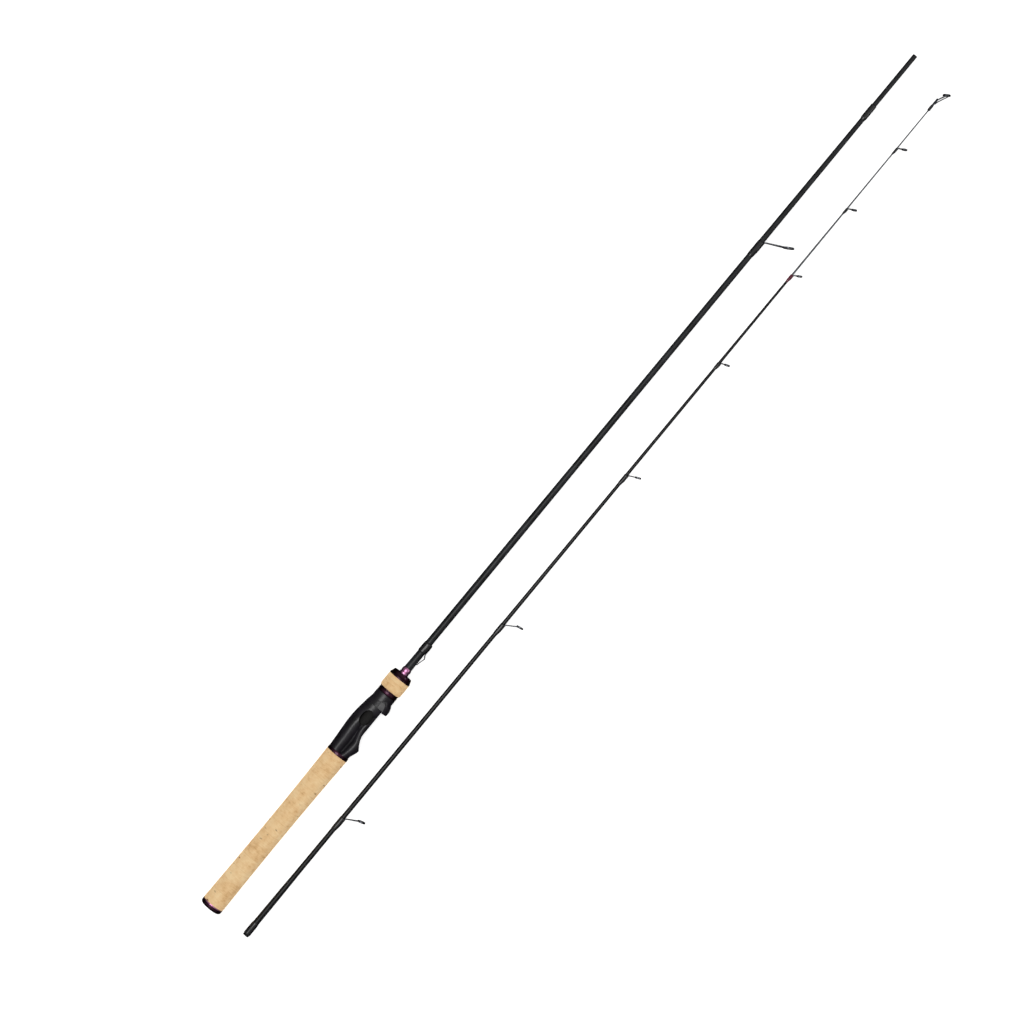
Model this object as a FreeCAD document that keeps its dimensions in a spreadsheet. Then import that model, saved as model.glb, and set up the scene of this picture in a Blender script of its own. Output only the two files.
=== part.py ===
import FreeCAD, Part

import math
import os
import re

import Sketcher
from FreeCAD import Placement, Rotation, Vector

# A two-piece spinning rod, taken apart and laid down with its sections side by side.
# Millimetres. +X runs from the butt to the tip, +Z is up, and the reel side and the line guides
# point to -Y. The origin is the bottom centre of the box round both sections.
#
# Each section is drawn about its own axis, with its rear end at x = 0, and placed on the ground
# by its own Placement. In those drawings "station" is the distance from the section's rear end
# and "reach" is the distance from the axis towards the reel side, along -Y.

SIZES = {
    # the two sections on the ground
    "butt_length": 930.0,
    "section_gap": 38.0,
    "tip_lead": 0.0,
    # butt cap, its trim ring and the rear grip
    "cap_end": 3.6,
    "cap_d": 19.8,
    "cap_corner": 2.4,
    "plug_end": 14.0,
    "plug_d": 5.2,
    "trim_end": 4.6,
    "trim_d": 20.0,
    "grip_rear_d": 20.0,
    "grip_waist_x": 88.0,
    "grip_waist_d": 18.7,
    "grip_front_d": 20.4,
    "grip_end": 167.6,
    "seat_ring_end": 170.5,
    "seat_ring_d": 20.6,
    # reel seat: a slim core that steps up to the threaded barrel, under the swell and the fairing
    "core_d": 13.0,
    "core_end": 196.0,
    "barrel_start": 200.0,
    "barrel_d": 16.0,
    "barrel_end": 254.2,
    "seat_bore_d": 11.0,
    "deck_reach": 6.4,
    "deck_cut_start": 186.0,
    "deck_end": 244.0,
    # the fixed hood's mouth: a short lip, then a concave arc down to the deck
    "lip_x": 181.0,
    "lip_reach": 12.4,
    "lip_length": 1.2,
    "lip_drop": 1.0,
    "throat_x": 187.5,
    "throat_reach": 8.1,
    "throat_end": 196.5,
    "mouth_end": 215.0,
    "clear_reach": 15.0,
    "clear_height": 12.0,
    "pocket_start": 177.5,
    "pocket_end": 194.0,
    "pocket_centre": 3.1,
    "pocket_d": 15.8,
    # a blind window in each side of the seat
    "window_x": 207.5,
    "window_back": 0.6,
    "window_long": 7.5,
    "window_high": 5.0,
    "window_floor": 1.0,
    "thread_start": 222.0,
    "thread_pitch": 2.0,
    "thread_depth": 0.7,
    "thread_count": 15,
    "thread_clear": 0.3,
    "rear_arbor_start": 173.0,
    "rear_arbor_end": 219.0,
    "front_arbor_start": 221.0,
    "front_arbor_end": 250.0,
    # sliding hood: a collar with a lobed tab, and a flat facet on each cheek
    "hood_start": 219.9,
    "hood_taper_end": 225.9,
    "hood_end": 232.5,
    "hood_bore_d": 16.1,
    "hood_rear_d": 20.6,
    "hood_front_d": 18.4,
    "tab_start": 218.4,
    "hood_pocket_end": 223.0,
    "hood_pocket_centre": 3.2,
    "hood_pocket_d": 15.2,
    "facet_height": 8.75,
    "facet_reach": 0.8,
    "facet_end": 226.0,
    # lock nut with its cork foregrip
    "nut_start": 232.7,
    "nut_ring_end": 237.1,
    "nut_ring_d": 18.4,
    "sleeve_d": 17.2,
    "sleeve_end": 252.0,
    "foregrip_rear_d": 18.6,
    "foregrip_d": 20.4,
    "foregrip_round_x": 239.0,
    "foregrip_end": 249.9,
    "front_ring_end": 255.0,
    "front_ring_d": 20.4,
    "front_ring_nose_d": 17.2,
    "front_ring_flat": 1.2,
    "front_ring_bore_d": 16.3,
    "check_end": 261.2,
    "check_d": 8.3,
    "check_nose": 1.6,
    "check_nose_drop": 0.5,
    # hook keeper
    "keeper_wire_d": 1.0,
    "keeper_rear_x": 268.0,
    "keeper_apex_x": 276.0,
    "keeper_apex_reach": 5.8,
    "keeper_root_x": 278.2,
    "keeper_foot_end": 286.0,
    "keeper_wrap_start": 278.8,
    "keeper_wrap_end": 289.0,
    "keeper_wrap_rear_d": 8.8,
    "keeper_wrap_d": 8.4,
    "keeper_touch": 0.05,
    # the male end of the butt section and the female end of the tip section
    "ferrule_length": 50.0,
    "ferrule_d": 4.1,
    "ferrule_gap": 0.03,
    "male_wrap_start": 860.0,
    "male_wrap_end": 876.0,
    "male_wrap_ramp": 4.0,
    "male_wrap_fade": 6.0,
    "male_wrap_d": 5.6,
    "female_wrap_start": 1.5,
    "female_wrap_end": 14.0,
    "female_wrap_fade": 4.0,
    "female_wrap_d": 6.2,
    "wrap_edge": 0.15,
    # tip section
    "tip_tube_end": 722.7,
    "solid_start": 698.7,
    "solid_tail_d": 1.5,
    "solid_end": 913.5,
    # tip-top
    "tiptop_tube_start": 904.5,
    "tiptop_tube_end": 915.5,
    "tiptop_tube_d": 1.9,
    "tiptop_wrap_start": 902.0,
    "tiptop_wrap_end": 908.5,
    "tiptop_wrap_d": 2.5,
    "tiptop_ring_d": 6.8,
    "tiptop_ring_x": 922.4,
    "tiptop_ring_reach": 3.9,
    "tiptop_lean": 33.0,
    "tiptop_wire_d": 0.9,
    "tiptop_brace_root": 3.2,
    "tiptop_wire_root": 1.2,
    "tiptop_wire_reach": 0.3,
    "tiptop_wire_spread": 0.35,
    # common to every guide: metal hoop wall, ceramic wall and their widths
    "hoop_wall": 0.35,
    "hoop_width": 1.4,
    "ceramic_wall": 0.85,
    "ceramic_width": 1.7,
    "foot_thickness": 0.5,
    "foot_inset": 1.5,
    "foot_share": 0.8,
    "leg_grip": 62.0,
    "leg_bite": 0.2,
    "leg_clear": 0.05,
    "wrap_clear": 0.1,
    "wrap_ramp": 2.4,
    "wrap_crown": 0.25,
}

# Outside and bore diameters of the tapered blanks at a few stations.
BUTT_OUTSIDE = ((4.6, 7.4), (262.0, 7.1), (292.0, 6.3), (400.0, 6.1), (510.0, 5.55),
                (700.0, 5.15), (800.0, 4.5), (880.0, 4.1), (930.0, 4.1))
BUTT_BORE = ((4.6, 5.2), (260.0, 5.0), (400.0, 4.3), (700.0, 3.5), (880.0, 2.6), (930.0, 2.6))
TIP_OUTSIDE = ((0.0, 5.4), (50.0, 4.95), (66.0, 4.5), (126.0, 4.2), (294.0, 3.7),
               (480.0, 2.95), (600.0, 2.6), (722.7, 2.0))
TIP_BORE = ((52.0, 3.3), (294.0, 2.7), (480.0, 2.0), (692.7, 1.5), (722.7, 1.5))
SOLID_OUTSIDE = ((722.7, 1.7), (809.0, 1.3), (901.5, 1.06), (913.5, 1.0))

# The seat's oval sections: station, reach of the back and of the front, and half width.
SEAT_SWELL = ((170.5, 10.0, 2.8, 10.1), (178.0, 10.5, 2.7, 10.2), (188.0, 11.3, 2.5, 10.35),
              (198.0, 11.9, 2.2, 10.4), (208.0, 11.6, 5.0, 10.3), (219.7, 10.4, 8.2, 9.8))
SEAT_FAIRING = ((170.5, 0.7, 9.7, 8.9), (178.0, -0.8, 11.8, 9.0), (181.0, -0.9, 12.5, 9.0),
                (185.0, -1.2, 12.1, 9.0), (191.0, 0.0, 9.4, 8.8), (199.0, 1.2, 7.6, 8.5),
                (207.0, 1.2, 7.4, 8.2))
HOOD_TAB = ((218.4, 4.6, 11.3, 9.2), (221.8, 4.6, 11.5, 9.3), (228.5, 4.0, 8.8, 8.6))

# Line guides: the station where the legs leave the foot, the reach of the hoop's outer edge, the
# hoop's outside diameter, the length of the wrap behind the legs, the lean of the legs and of the
# hoop towards the tip in degrees, how far the hoop is set forward of the legs, and the wire's
# diameter.
STRIPPER = (728.0, 25.8, 9.8, 17.0, 26.0, 31.0, 0.0, 1.2)
TIP_GUIDES = (
    (129.5, 17.9, 7.0, 14.0, 23.0, 17.0, 1.9, 0.9),
    (341.2, 16.0, 6.4, 12.0, 21.0, 10.0, 2.8, 0.9),
    (504.6, 11.8, 5.4, 11.0, 27.0, 24.0, 0.0, 0.9),
    (627.3, 8.9, 5.0, 8.0, 21.0, 21.0, 0.0, 0.9),
    (723.3, 8.1, 5.0, 8.0, 31.0, 31.0, 0.0, 0.9),
    (796.0, 8.0, 5.0, 7.0, 27.0, 27.0, 0.0, 0.9),
    (862.0, 8.2, 5.0, 8.0, 28.0, 28.0, 0.0, 0.9),
)
TAPER_FIELDS = ("x", "d")
OVAL_FIELDS = ("x", "back", "front", "half")
GUIDE_FIELDS = ("x", "reach", "ring_d", "wrap", "leg_lean", "ring_lean", "kink", "wire_d")
ALONG_X = Rotation(Vector(0, 0, 1), Vector(1, 0, 0))
BLANKS = {
    "butt": ("butt_outside", BUTT_OUTSIDE),
    "tip": ("tip_outside", TIP_OUTSIDE),
    "solid": ("solid_outside", SOLID_OUTSIDE),
}


def add_rows():
    """Put the tapers, the ovals and the guides into SIZES, one row for each number."""
    tables = {
        "butt_outside": (TAPER_FIELDS, BUTT_OUTSIDE),
        "butt_bore": (TAPER_FIELDS, BUTT_BORE),
        "tip_outside": (TAPER_FIELDS, TIP_OUTSIDE),
        "tip_bore": (TAPER_FIELDS, TIP_BORE),
        "solid_outside": (TAPER_FIELDS, SOLID_OUTSIDE),
        "swell": (OVAL_FIELDS, SEAT_SWELL),
        "fairing": (OVAL_FIELDS, SEAT_FAIRING),
        "tab": (OVAL_FIELDS, HOOD_TAB),
    }
    for name, (fields, lines) in tables.items():
        for index, line in enumerate(lines, start=1):
            for field, size in zip(fields, line):
                SIZES[f"{name}_{field}_{index}"] = size
    guides = {"stripper": STRIPPER}
    for index, guide in enumerate(TIP_GUIDES, start=1):
        guides[f"guide_{index}"] = guide
    for name, guide in guides.items():
        for field, size in zip(GUIDE_FIELDS, guide):
            SIZES[f"{name}_{field}"] = size


def make_sheet():
    """Write every driving size to a spreadsheet, a name and an aliased number to a row."""
    sheet = doc.addObject("Spreadsheet::Sheet", "Rod")
    for row, (alias, size) in enumerate(SIZES.items(), start=1):
        sheet.set(f"A{row}", alias)
        sheet.set(f"B{row}", str(size))
        sheet.setAlias(f"B{row}", alias)
    doc.recompute()
    return sheet


def formula(text):
    """Return an expression in which each size's name refers to its cell."""
    return re.sub(r"[a-z][a-z_0-9]*", lambda word: f"Rod.{word[0]}" if word[0] in SIZES else word[0], text)


def number(text):
    """Return the value of an expression written with the sheet's names."""
    return float(sheet.evalExpression(formula(text)))


def taper_radius(blank, station):
    """Return the expression for a blank's outside radius at a station."""
    name, stations = BLANKS[blank]
    place = number(station)
    last = len(stations) - 1
    segment = next((i for i in range(1, last) if place <= stations[i][0]), last)
    near_x, near_d = f"{name}_x_{segment}", f"{name}_d_{segment}"
    far_x, far_d = f"{name}_x_{segment + 1}", f"{name}_d_{segment + 1}"
    return f"({near_d} + ({far_d} - {near_d}) * ({station} - {near_x}) / ({far_x} - {near_x})) / 2"


def origin_plane(body, role):
    """Return one of a body's own origin planes."""
    return next(feature for feature in body.Origin.OriginFeatures if feature.Role == role)


def new_body(label):
    """Start a body whose label names the sub-part and its file."""
    body = doc.addObject("PartDesign::Body", label)
    body.Label = label
    return body


def new_sketch(body, name, role, offset=None):
    """Attach a sketch to one of the body's planes, moved along its normal by an expression."""
    sketch = body.newObject("Sketcher::SketchObject", f"{body.Name}_{name}")
    sketch.AttachmentSupport = [(origin_plane(body, role), "")]
    sketch.MapMode = "FlatFace"
    if offset:
        sketch.setExpression("AttachmentOffset.Base.z", formula(offset))
    return sketch


def pin_point(sketch, element, end, name, across, along):
    """Fix a sketch point at (across, along), given as expressions in the sheet's names."""
    for kind, text, axis in (("DistanceX", across, -2), ("DistanceY", along, -1)):
        size = number(text)
        if abs(size) < 1e-9:
            sketch.addConstraint(Sketcher.Constraint("PointOnObject", element, end, axis))
            continue
        ends = (-1, 1, element, end) if size > 0 else (element, end, -1, 1)
        index = sketch.addConstraint(Sketcher.Constraint(kind, *ends, abs(size)))
        label = f"{name}_{'x' if kind == 'DistanceX' else 'y'}"
        sketch.renameConstraint(index, label)
        signed = formula(text) if size > 0 else f"-({formula(text)})"
        sketch.setExpression(f"Constraints.{label}", signed)


def draw_outline(sketch, points):
    """Draw a closed outline. A point is (x, y), or (x, y, x_on, y_on) to start an arc that passes
    through (x_on, y_on) on its way to the next point."""
    values = [tuple(number(text) for text in point) for point in points]
    count = len(points)
    for index, here in enumerate(values):
        there = values[(index + 1) % count]
        start, stop = Vector(here[0], here[1], 0), Vector(there[0], there[1], 0)
        if len(here) == 2:
            sketch.addGeometry(Part.LineSegment(start, stop), False)
        else:
            sketch.addGeometry(Part.Arc(start, Vector(here[2], here[3], 0), stop), False)
    starts = []
    for index, here in enumerate(values):
        first = sketch.getPoint(index, 1)
        forward = math.hypot(first.x - here[0], first.y - here[1]) < 1e-6
        starts.append((1, 2) if forward else (2, 1))
    for index in range(count):
        following = (index + 1) % count
        sketch.addConstraint(Sketcher.Constraint("Coincident", index, starts[index][1],
                                                 following, starts[following][0]))
    for index, point in enumerate(points):
        pin_point(sketch, index, starts[index][0], f"corner_{index}", point[0], point[1])
        if len(point) == 4:
            mark = sketch.addGeometry(Part.Point(Vector(values[index][2], values[index][3], 0)), True)
            pin_point(sketch, mark, 1, f"middle_{index}", point[2], point[3])
            sketch.addConstraint(Sketcher.Constraint("PointOnObject", mark, 1, index))


def revolve(body, name, points, kind="PartDesign::Revolution"):
    """Turn an outline of (station, radius) points about the X axis."""
    sketch = new_sketch(body, f"{name}_outline", "XY_Plane")
    draw_outline(sketch, points)
    feature = body.newObject(kind, f"{body.Name}_{name}")
    feature.Profile = sketch
    feature.ReferenceAxis = (sketch, ["H_Axis"])
    feature.Angle = 360
    feature.Refine = False
    doc.recompute()
    return feature


def turned(label, points, placement):
    """Make a sub-part that is a single turned shape."""
    body = new_body(label)
    revolve(body, "turning", points)
    body.Placement = placement
    return body


def sleeve(label, start, stop, inner, outer, placement):
    """Make a plain ring or tube from start to stop, with constant or tapered walls."""
    inner_rear, inner_front = inner
    outer_rear, outer_front = outer
    points = [(start, inner_rear), (start, outer_rear), (stop, outer_front), (stop, inner_front)]
    return turned(label, points, placement)


def add_block(body, name, kind, low, high):
    """Add or cut a box between two corners, given as expressions."""
    block = body.newObject(f"PartDesign::{kind}Box", f"{body.Name}_{name}")
    for size, axis in (("Length", 0), ("Width", 1), ("Height", 2)):
        block.setExpression(size, formula(f"({high[axis]}) - ({low[axis]})"))
    for axis, letter in enumerate("xyz"):
        block.setExpression(f"Placement.Base.{letter}", formula(low[axis]))
    block.Refine = False
    doc.recompute()
    return block


def add_rod(body, name, kind, start, direction, radius, height):
    """Add or cut a round bar from a point along a direction."""
    rod = body.newObject(f"PartDesign::{kind}Cylinder", f"{body.Name}_{name}")
    rod.setExpression("Radius", formula(radius))
    rod.Height = height
    rod.Placement = Placement(start, Rotation(Vector(0, 0, 1), direction))
    doc.recompute()
    return rod


def add_ball(body, name, centre, radius):
    """Round off a wire's bend or end with a ball."""
    ball = body.newObject("PartDesign::AdditiveSphere", f"{body.Name}_{name}")
    ball.setExpression("Radius", formula(radius))
    ball.Placement = Placement(centre, Rotation())
    doc.recompute()
    return ball


def draw_ellipse(sketch, centre, half_x, half_y):
    """Draw an ellipse with its axes along the sketch's own, from expressions."""
    x, y = (number(text) for text in centre)
    wide, high = number(half_x), number(half_y)
    long_along_x = wide >= high
    side, top = Vector(x + wide, y, 0), Vector(x, y + high, 0)
    vertices = (side, top) if long_along_x else (top, side)
    sketch.addGeometry(Part.Ellipse(*vertices, Vector(x, y, 0)), False)
    sketch.exposeInternalGeometry(0)
    axis_x, axis_y = (1, 2) if long_along_x else (2, 1)
    sketch.addConstraint(Sketcher.Constraint("Horizontal", axis_x))
    pin_point(sketch, 0, 3, "centre", *centre)
    for kind, axis, text in (("DistanceX", axis_x, half_x), ("DistanceY", axis_y, half_y)):
        first, last = sketch.getPoint(axis, 1), sketch.getPoint(axis, 2)
        growing = last.x > first.x if kind == "DistanceX" else last.y > first.y
        ends = (axis, 1, axis, 2) if growing else (axis, 2, axis, 1)
        index = sketch.addConstraint(Sketcher.Constraint(kind, *ends, 2 * number(text)))
        sketch.renameConstraint(index, kind.lower())
        sketch.setExpression(f"Constraints.{kind.lower()}", formula(f"2 * ({text})"))


def add_oval(body, name, station, back, front, half_width):
    """Sketch the oval cross-section of the seat at a station."""
    sketch = new_sketch(body, name, "YZ_Plane", station)
    draw_ellipse(sketch, (f"({back} - {front}) / 2", "0"), f"({back} + {front}) / 2", half_width)
    return sketch


def add_loft(body, name, count):
    """Loft a body through the oval sections of one of the tables."""
    sections = [add_oval(body, f"{name}_oval_{i}", f"{name}_x_{i}", f"{name}_back_{i}",
                         f"{name}_front_{i}", f"{name}_half_{i}") for i in range(1, count + 1)]
    loft = body.newObject("PartDesign::AdditiveLoft", f"{body.Name}_{name}")
    loft.Profile = sections[0]
    loft.Sections = sections[1:]
    loft.Refine = False
    doc.recompute()
    return loft


def cut_profile(body, name, draw, *shape, floor=None, down=False):
    """Cut along Z, inside what draw puts in the XY plane: right through, or only beyond a floor."""
    sketch = new_sketch(body, f"{name}_outline", "XY_Plane", floor)
    draw(sketch, *shape)
    cut = body.newObject("PartDesign::Pocket", f"{body.Name}_{name}")
    cut.Profile = sketch
    cut.Type = "ThroughAll"
    cut.Midplane = floor is None
    cut.Reversed = floor is not None and not down
    cut.Refine = False
    before = body.Shape.Volume
    doc.recompute()
    if body.Shape.Volume > before - 0.01:
        raise RuntimeError(f"{body.Name}: the cut {name} removes nothing")
    return cut


# ---------------------------------------------------------------- butt section, from the rear


def make_rear_end(place):
    """Make the butt cap, its trim ring, the rear grip and the ring before the seat."""
    turned("butt_cap", [
        ("0", "0"),
        ("0", "cap_d / 2 - cap_corner",
         "cap_corner * 0.2929", "cap_d / 2 - cap_corner * 0.2929"),
        ("cap_corner", "cap_d / 2"),
        ("cap_end", "cap_d / 2"),
        ("cap_end", "plug_d / 2"),
        ("plug_end", "plug_d / 2 - 0.1"),
        ("plug_end", "0"),
    ], place)
    sleeve("butt_trim_ring", "cap_end", "trim_end", ("plug_d / 2", "plug_d / 2"),
           ("trim_d / 2", "trim_d / 2"), place)
    turned("rear_grip", [
        ("trim_end", taper_radius("butt", "trim_end")),
        ("trim_end", "grip_rear_d / 2", "grip_waist_x", "grip_waist_d / 2"),
        ("grip_end", "grip_front_d / 2"),
        ("grip_end", taper_radius("butt", "grip_end")),
    ], place)
    sleeve("seat_rear_ring", "grip_end", "seat_ring_end",
           (taper_radius("butt", "grip_end"), taper_radius("butt", "seat_ring_end")),
           ("seat_ring_d / 2", "seat_ring_d / 2 - 0.3"), place)


def make_butt_blank(place):
    """Make the tapered tube that the whole butt section is built on."""
    outside = [(f"butt_outside_x_{i}", f"butt_outside_d_{i} / 2") for i in range(1, len(BUTT_OUTSIDE) + 1)]
    bore = [(f"butt_bore_x_{i}", f"butt_bore_d_{i} / 2") for i in range(len(BUTT_BORE), 0, -1)]
    turned("butt_blank", outside + bore, place)


def add_foot_pocket(body, start, stop, centre, diameter):
    """Cut the pocket for one end of a reel's foot: the part of a round bar beyond the deck."""
    pocket = new_sketch(body, "pocket_section", "YZ_Plane", start)
    floor_y = "-deck_reach"
    half_floor = f"sqrt(({diameter} / 2) ^ 2 - (deck_reach - {centre}) ^ 2)"
    draw_outline(pocket, [(floor_y, half_floor, f"-{centre} - {diameter} / 2", "0"),
                          (floor_y, f"-{half_floor}")])
    cut = body.newObject("PartDesign::Pocket", f"{body.Name}_foot_pocket")
    cut.Profile = pocket
    cut.Reversed = True
    cut.Refine = False
    cut.setExpression("Length", formula(f"{stop} - {start}"))
    before = body.Shape.Volume
    doc.recompute()
    if body.Shape.Volume > before - 1:
        raise RuntimeError(f"{body.Name}: the foot pocket removes nothing")


def make_reel_seat(place):
    """Make the moulded seat: palm swell, fixed hood, deck, side windows and threaded barrel."""
    seat = new_body("reel_seat")
    add_loft(seat, "swell", len(SEAT_SWELL))
    revolve(seat, "barrel", [
        ("seat_ring_end", "0"), ("seat_ring_end", "core_d / 2"), ("core_end", "core_d / 2"),
        ("barrel_start", "barrel_d / 2"), ("barrel_end", "barrel_d / 2"), ("barrel_end", "0"),
    ])
    add_block(seat, "deck", "Subtractive", ("deck_cut_start", "-clear_reach", "-clear_height"),
              ("deck_end", "-deck_reach", "clear_height"))
    add_loft(seat, "fairing", len(SEAT_FAIRING))
    for side, floor, down in (("upper", "window_floor", False), ("lower", "-window_floor", True)):
        cut_profile(seat, f"{side}_window", draw_ellipse, ("window_x", "window_back"),
                    "window_long", "window_high", floor=floor, down=down)
    cut_profile(seat, "mouth", draw_outline, [
        ("lip_x", "-clear_reach"), ("lip_x", "-lip_reach"),
        ("lip_x + lip_length", "-lip_reach + lip_drop", "throat_x", "-throat_reach"),
        ("throat_end", "-deck_reach"), ("mouth_end", "-deck_reach"), ("mouth_end", "-clear_reach"),
    ])
    add_foot_pocket(seat, "pocket_start", "pocket_end", "pocket_centre", "pocket_d")
    revolve(seat, "bore", [
        ("seat_ring_end - 1", "0"), ("seat_ring_end - 1", "seat_bore_d / 2"),
        ("barrel_end + 1", "seat_bore_d / 2"), ("barrel_end + 1", "0"),
    ], kind="PartDesign::Groove")
    thread = revolve(seat, "thread", [
        ("thread_start", "barrel_d / 2 + thread_clear"),
        ("thread_start + thread_pitch / 4", "barrel_d / 2 - thread_depth"),
        ("thread_start + thread_pitch / 2", "barrel_d / 2 - thread_depth"),
        ("thread_start + thread_pitch * 3 / 4", "barrel_d / 2 + thread_clear"),
    ], kind="PartDesign::Groove")
    threads = seat.newObject("PartDesign::LinearPattern", "reel_seat_threads")
    threads.Originals = [thread]
    threads.Direction = (origin_plane(seat, "X_Axis"), [""])
    threads.setExpression("Occurrences", formula("thread_count"))
    threads.setExpression("Length", formula("thread_pitch * (thread_count - 1)"))
    threads.Refine = False
    seat.Tip = threads
    doc.recompute()
    seat.Placement = place
    for label, start, stop in (("seat_rear_arbor", "rear_arbor_start", "rear_arbor_end"),
                               ("seat_front_arbor", "front_arbor_start", "front_arbor_end")):
        sleeve(label, start, stop, (taper_radius("butt", start), taper_radius("butt", stop)),
               ("seat_bore_d / 2", "seat_bore_d / 2"), place)


def make_sliding_hood(place):
    """Make the keyed collar with the tab that clamps the front of a reel's foot."""
    hood = new_body("sliding_hood")
    revolve(hood, "collar", [
        ("hood_start", "0"), ("hood_start", "hood_rear_d / 2"),
        ("hood_taper_end", "hood_front_d / 2"), ("hood_end", "hood_front_d / 2"), ("hood_end", "0"),
    ])
    add_loft(hood, "tab", len(HOOD_TAB))
    add_block(hood, "tab_underside", "Subtractive",
              ("tab_start - 1", "-deck_reach - 0.1", "-clear_height"),
              ("hood_start", "clear_height", "clear_height"))
    for side, low, high in (("upper", "facet_height", "clear_height"),
                            ("lower", "-clear_height", "-facet_height")):
        add_block(hood, f"{side}_facet", "Subtractive", ("tab_start - 1", "-clear_reach", low),
                  ("facet_end", "-facet_reach", high))
    add_foot_pocket(hood, "tab_start - 1", "hood_pocket_end", "hood_pocket_centre", "hood_pocket_d")
    revolve(hood, "bore", [
        ("hood_start - 2", "0"), ("hood_start - 2", "hood_bore_d / 2"),
        ("hood_end + 1", "hood_bore_d / 2"), ("hood_end + 1", "0"),
    ], kind="PartDesign::Groove")
    hood.Placement = place


def make_lock_nut(place):
    """Make the nut that drives the hood: threaded sleeve, two rings and the cork foregrip."""
    bore = "hood_bore_d / 2"
    wall = "sleeve_d / 2"
    sleeve("nut_sleeve", "nut_start", "sleeve_end", (bore, bore), (wall, wall), place)
    sleeve("nut_rear_ring", "nut_start", "nut_ring_end", (wall, wall),
           ("nut_ring_d / 2", "nut_ring_d / 2"), place)
    turned("foregrip_cork", [
        ("nut_ring_end", wall), ("nut_ring_end", "foregrip_rear_d / 2"),
        ("foregrip_round_x", "foregrip_d / 2"), ("foregrip_end", "foregrip_d / 2"),
        ("foregrip_end", wall),
    ], place)
    turned("foregrip_front_ring", [
        ("foregrip_end", wall), ("foregrip_end", "front_ring_d / 2"),
        ("foregrip_end + front_ring_flat", "front_ring_d / 2"),
        ("front_ring_end", "front_ring_nose_d / 2"),
        ("front_ring_end", "front_ring_bore_d / 2"),
        ("sleeve_end", "front_ring_bore_d / 2"), ("sleeve_end", wall),
    ], place)


def make_winding_check(place):
    """Make the small bright ring that closes the front of the seat."""
    turned("winding_check", [
        ("barrel_end", taper_radius("butt", "barrel_end")),
        ("barrel_end", "check_d / 2"), ("check_end - check_nose", "check_d / 2"),
        ("check_end", "check_d / 2 - check_nose_drop"), ("check_end", taper_radius("butt", "check_end")),
    ], place)


def make_hook_keeper(place):
    """Make the bent-wire hook keeper and the wrap that holds its foot."""
    wire = "keeper_wire_d / 2"
    foot_reach = number(f"{taper_radius('butt', 'keeper_wrap_start')} + {wire}")
    root = Vector(number("keeper_root_x"), -foot_reach, 0)
    foot_end = Vector(number("keeper_foot_end"), -foot_reach, 0)
    apex = Vector(number("keeper_apex_x"), -number("keeper_apex_reach"), 0)
    rear_reach = number(f"{taper_radius('butt', 'keeper_rear_x')} + {wire} + keeper_touch")
    rear = Vector(number("keeper_rear_x"), -rear_reach, 0)
    keeper = new_body("hook_keeper")
    for index, (start, stop) in enumerate(((foot_end, root), (root, apex), (apex, rear))):
        span = stop - start
        add_rod(keeper, f"wire_{index}", "Additive", start, span, wire, span.Length)
        add_ball(keeper, f"bend_{index}", stop, wire)
    keeper.Placement = place
    wrap = new_body("keeper_wrap")
    revolve(wrap, "thread", [
        ("keeper_wrap_start", taper_radius("butt", "keeper_wrap_start")),
        ("keeper_wrap_start", "keeper_wrap_rear_d / 2"),
        ("keeper_foot_end", "keeper_wrap_d / 2"),
        ("keeper_wrap_end", taper_radius("butt", "keeper_wrap_end") + " + wrap_edge"),
        ("keeper_wrap_end", taper_radius("butt", "keeper_wrap_end")),
    ])
    groove = Vector(number("keeper_wrap_start") - 1, -foot_reach, 0)
    length = number("keeper_foot_end") - groove.x
    add_rod(wrap, "foot_groove", "Subtractive", groove, Vector(1, 0, 0), wire, length)
    wrap.Placement = place


def make_male_end(place):
    """Make the wrap where the plug-in end of the butt section begins."""
    turned("male_ferrule_wrap", [
        ("male_wrap_start", taper_radius("butt", "male_wrap_start")),
        ("male_wrap_start + male_wrap_ramp", "male_wrap_d / 2"),
        ("male_wrap_end - male_wrap_fade", "male_wrap_d / 2"),
        ("male_wrap_end", taper_radius("butt", "male_wrap_end") + " + wrap_edge"),
        ("male_wrap_end", taper_radius("butt", "male_wrap_end")),
    ], place)


# ---------------------------------------------------------------- tip section, from the ferrule


def make_tip_blanks(place):
    """Make the hollow tip blank with its socket, the solid tip and the wrap round the socket."""
    outside = [(f"tip_outside_x_{i}", f"tip_outside_d_{i} / 2") for i in range(1, len(TIP_OUTSIDE) + 1)]
    bore = [(f"tip_bore_x_{i}", f"tip_bore_d_{i} / 2") for i in range(len(TIP_BORE), 0, -1)]
    socket = [("ferrule_length", "ferrule_d / 2 + ferrule_gap"), ("0", "ferrule_d / 2 + ferrule_gap")]
    turned("tip_blank", outside + bore + socket, place)
    tail = [("solid_start", "0"), ("solid_start", "solid_tail_d / 2"), ("tip_tube_end", "solid_tail_d / 2")]
    solid = [(f"solid_outside_x_{i}", f"solid_outside_d_{i} / 2") for i in range(1, len(SOLID_OUTSIDE) + 1)]
    turned("solid_tip", tail + solid + [("solid_end", "0")], place)
    turned("female_ferrule_wrap", [
        ("female_wrap_start", taper_radius("tip", "female_wrap_start")),
        ("female_wrap_start", "female_wrap_d / 2"),
        ("female_wrap_end - female_wrap_fade", "female_wrap_d / 2"),
        ("female_wrap_end", taper_radius("tip", "female_wrap_end") + " + wrap_edge"),
        ("female_wrap_end", taper_radius("tip", "female_wrap_end")),
    ], place)


def ring_pose(centre, lean):
    """Return the placement that sets a ring's own X axis at its centre, leaning to the tip."""
    return Placement(centre, Rotation(Vector(0, 0, 1), lean))


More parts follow.
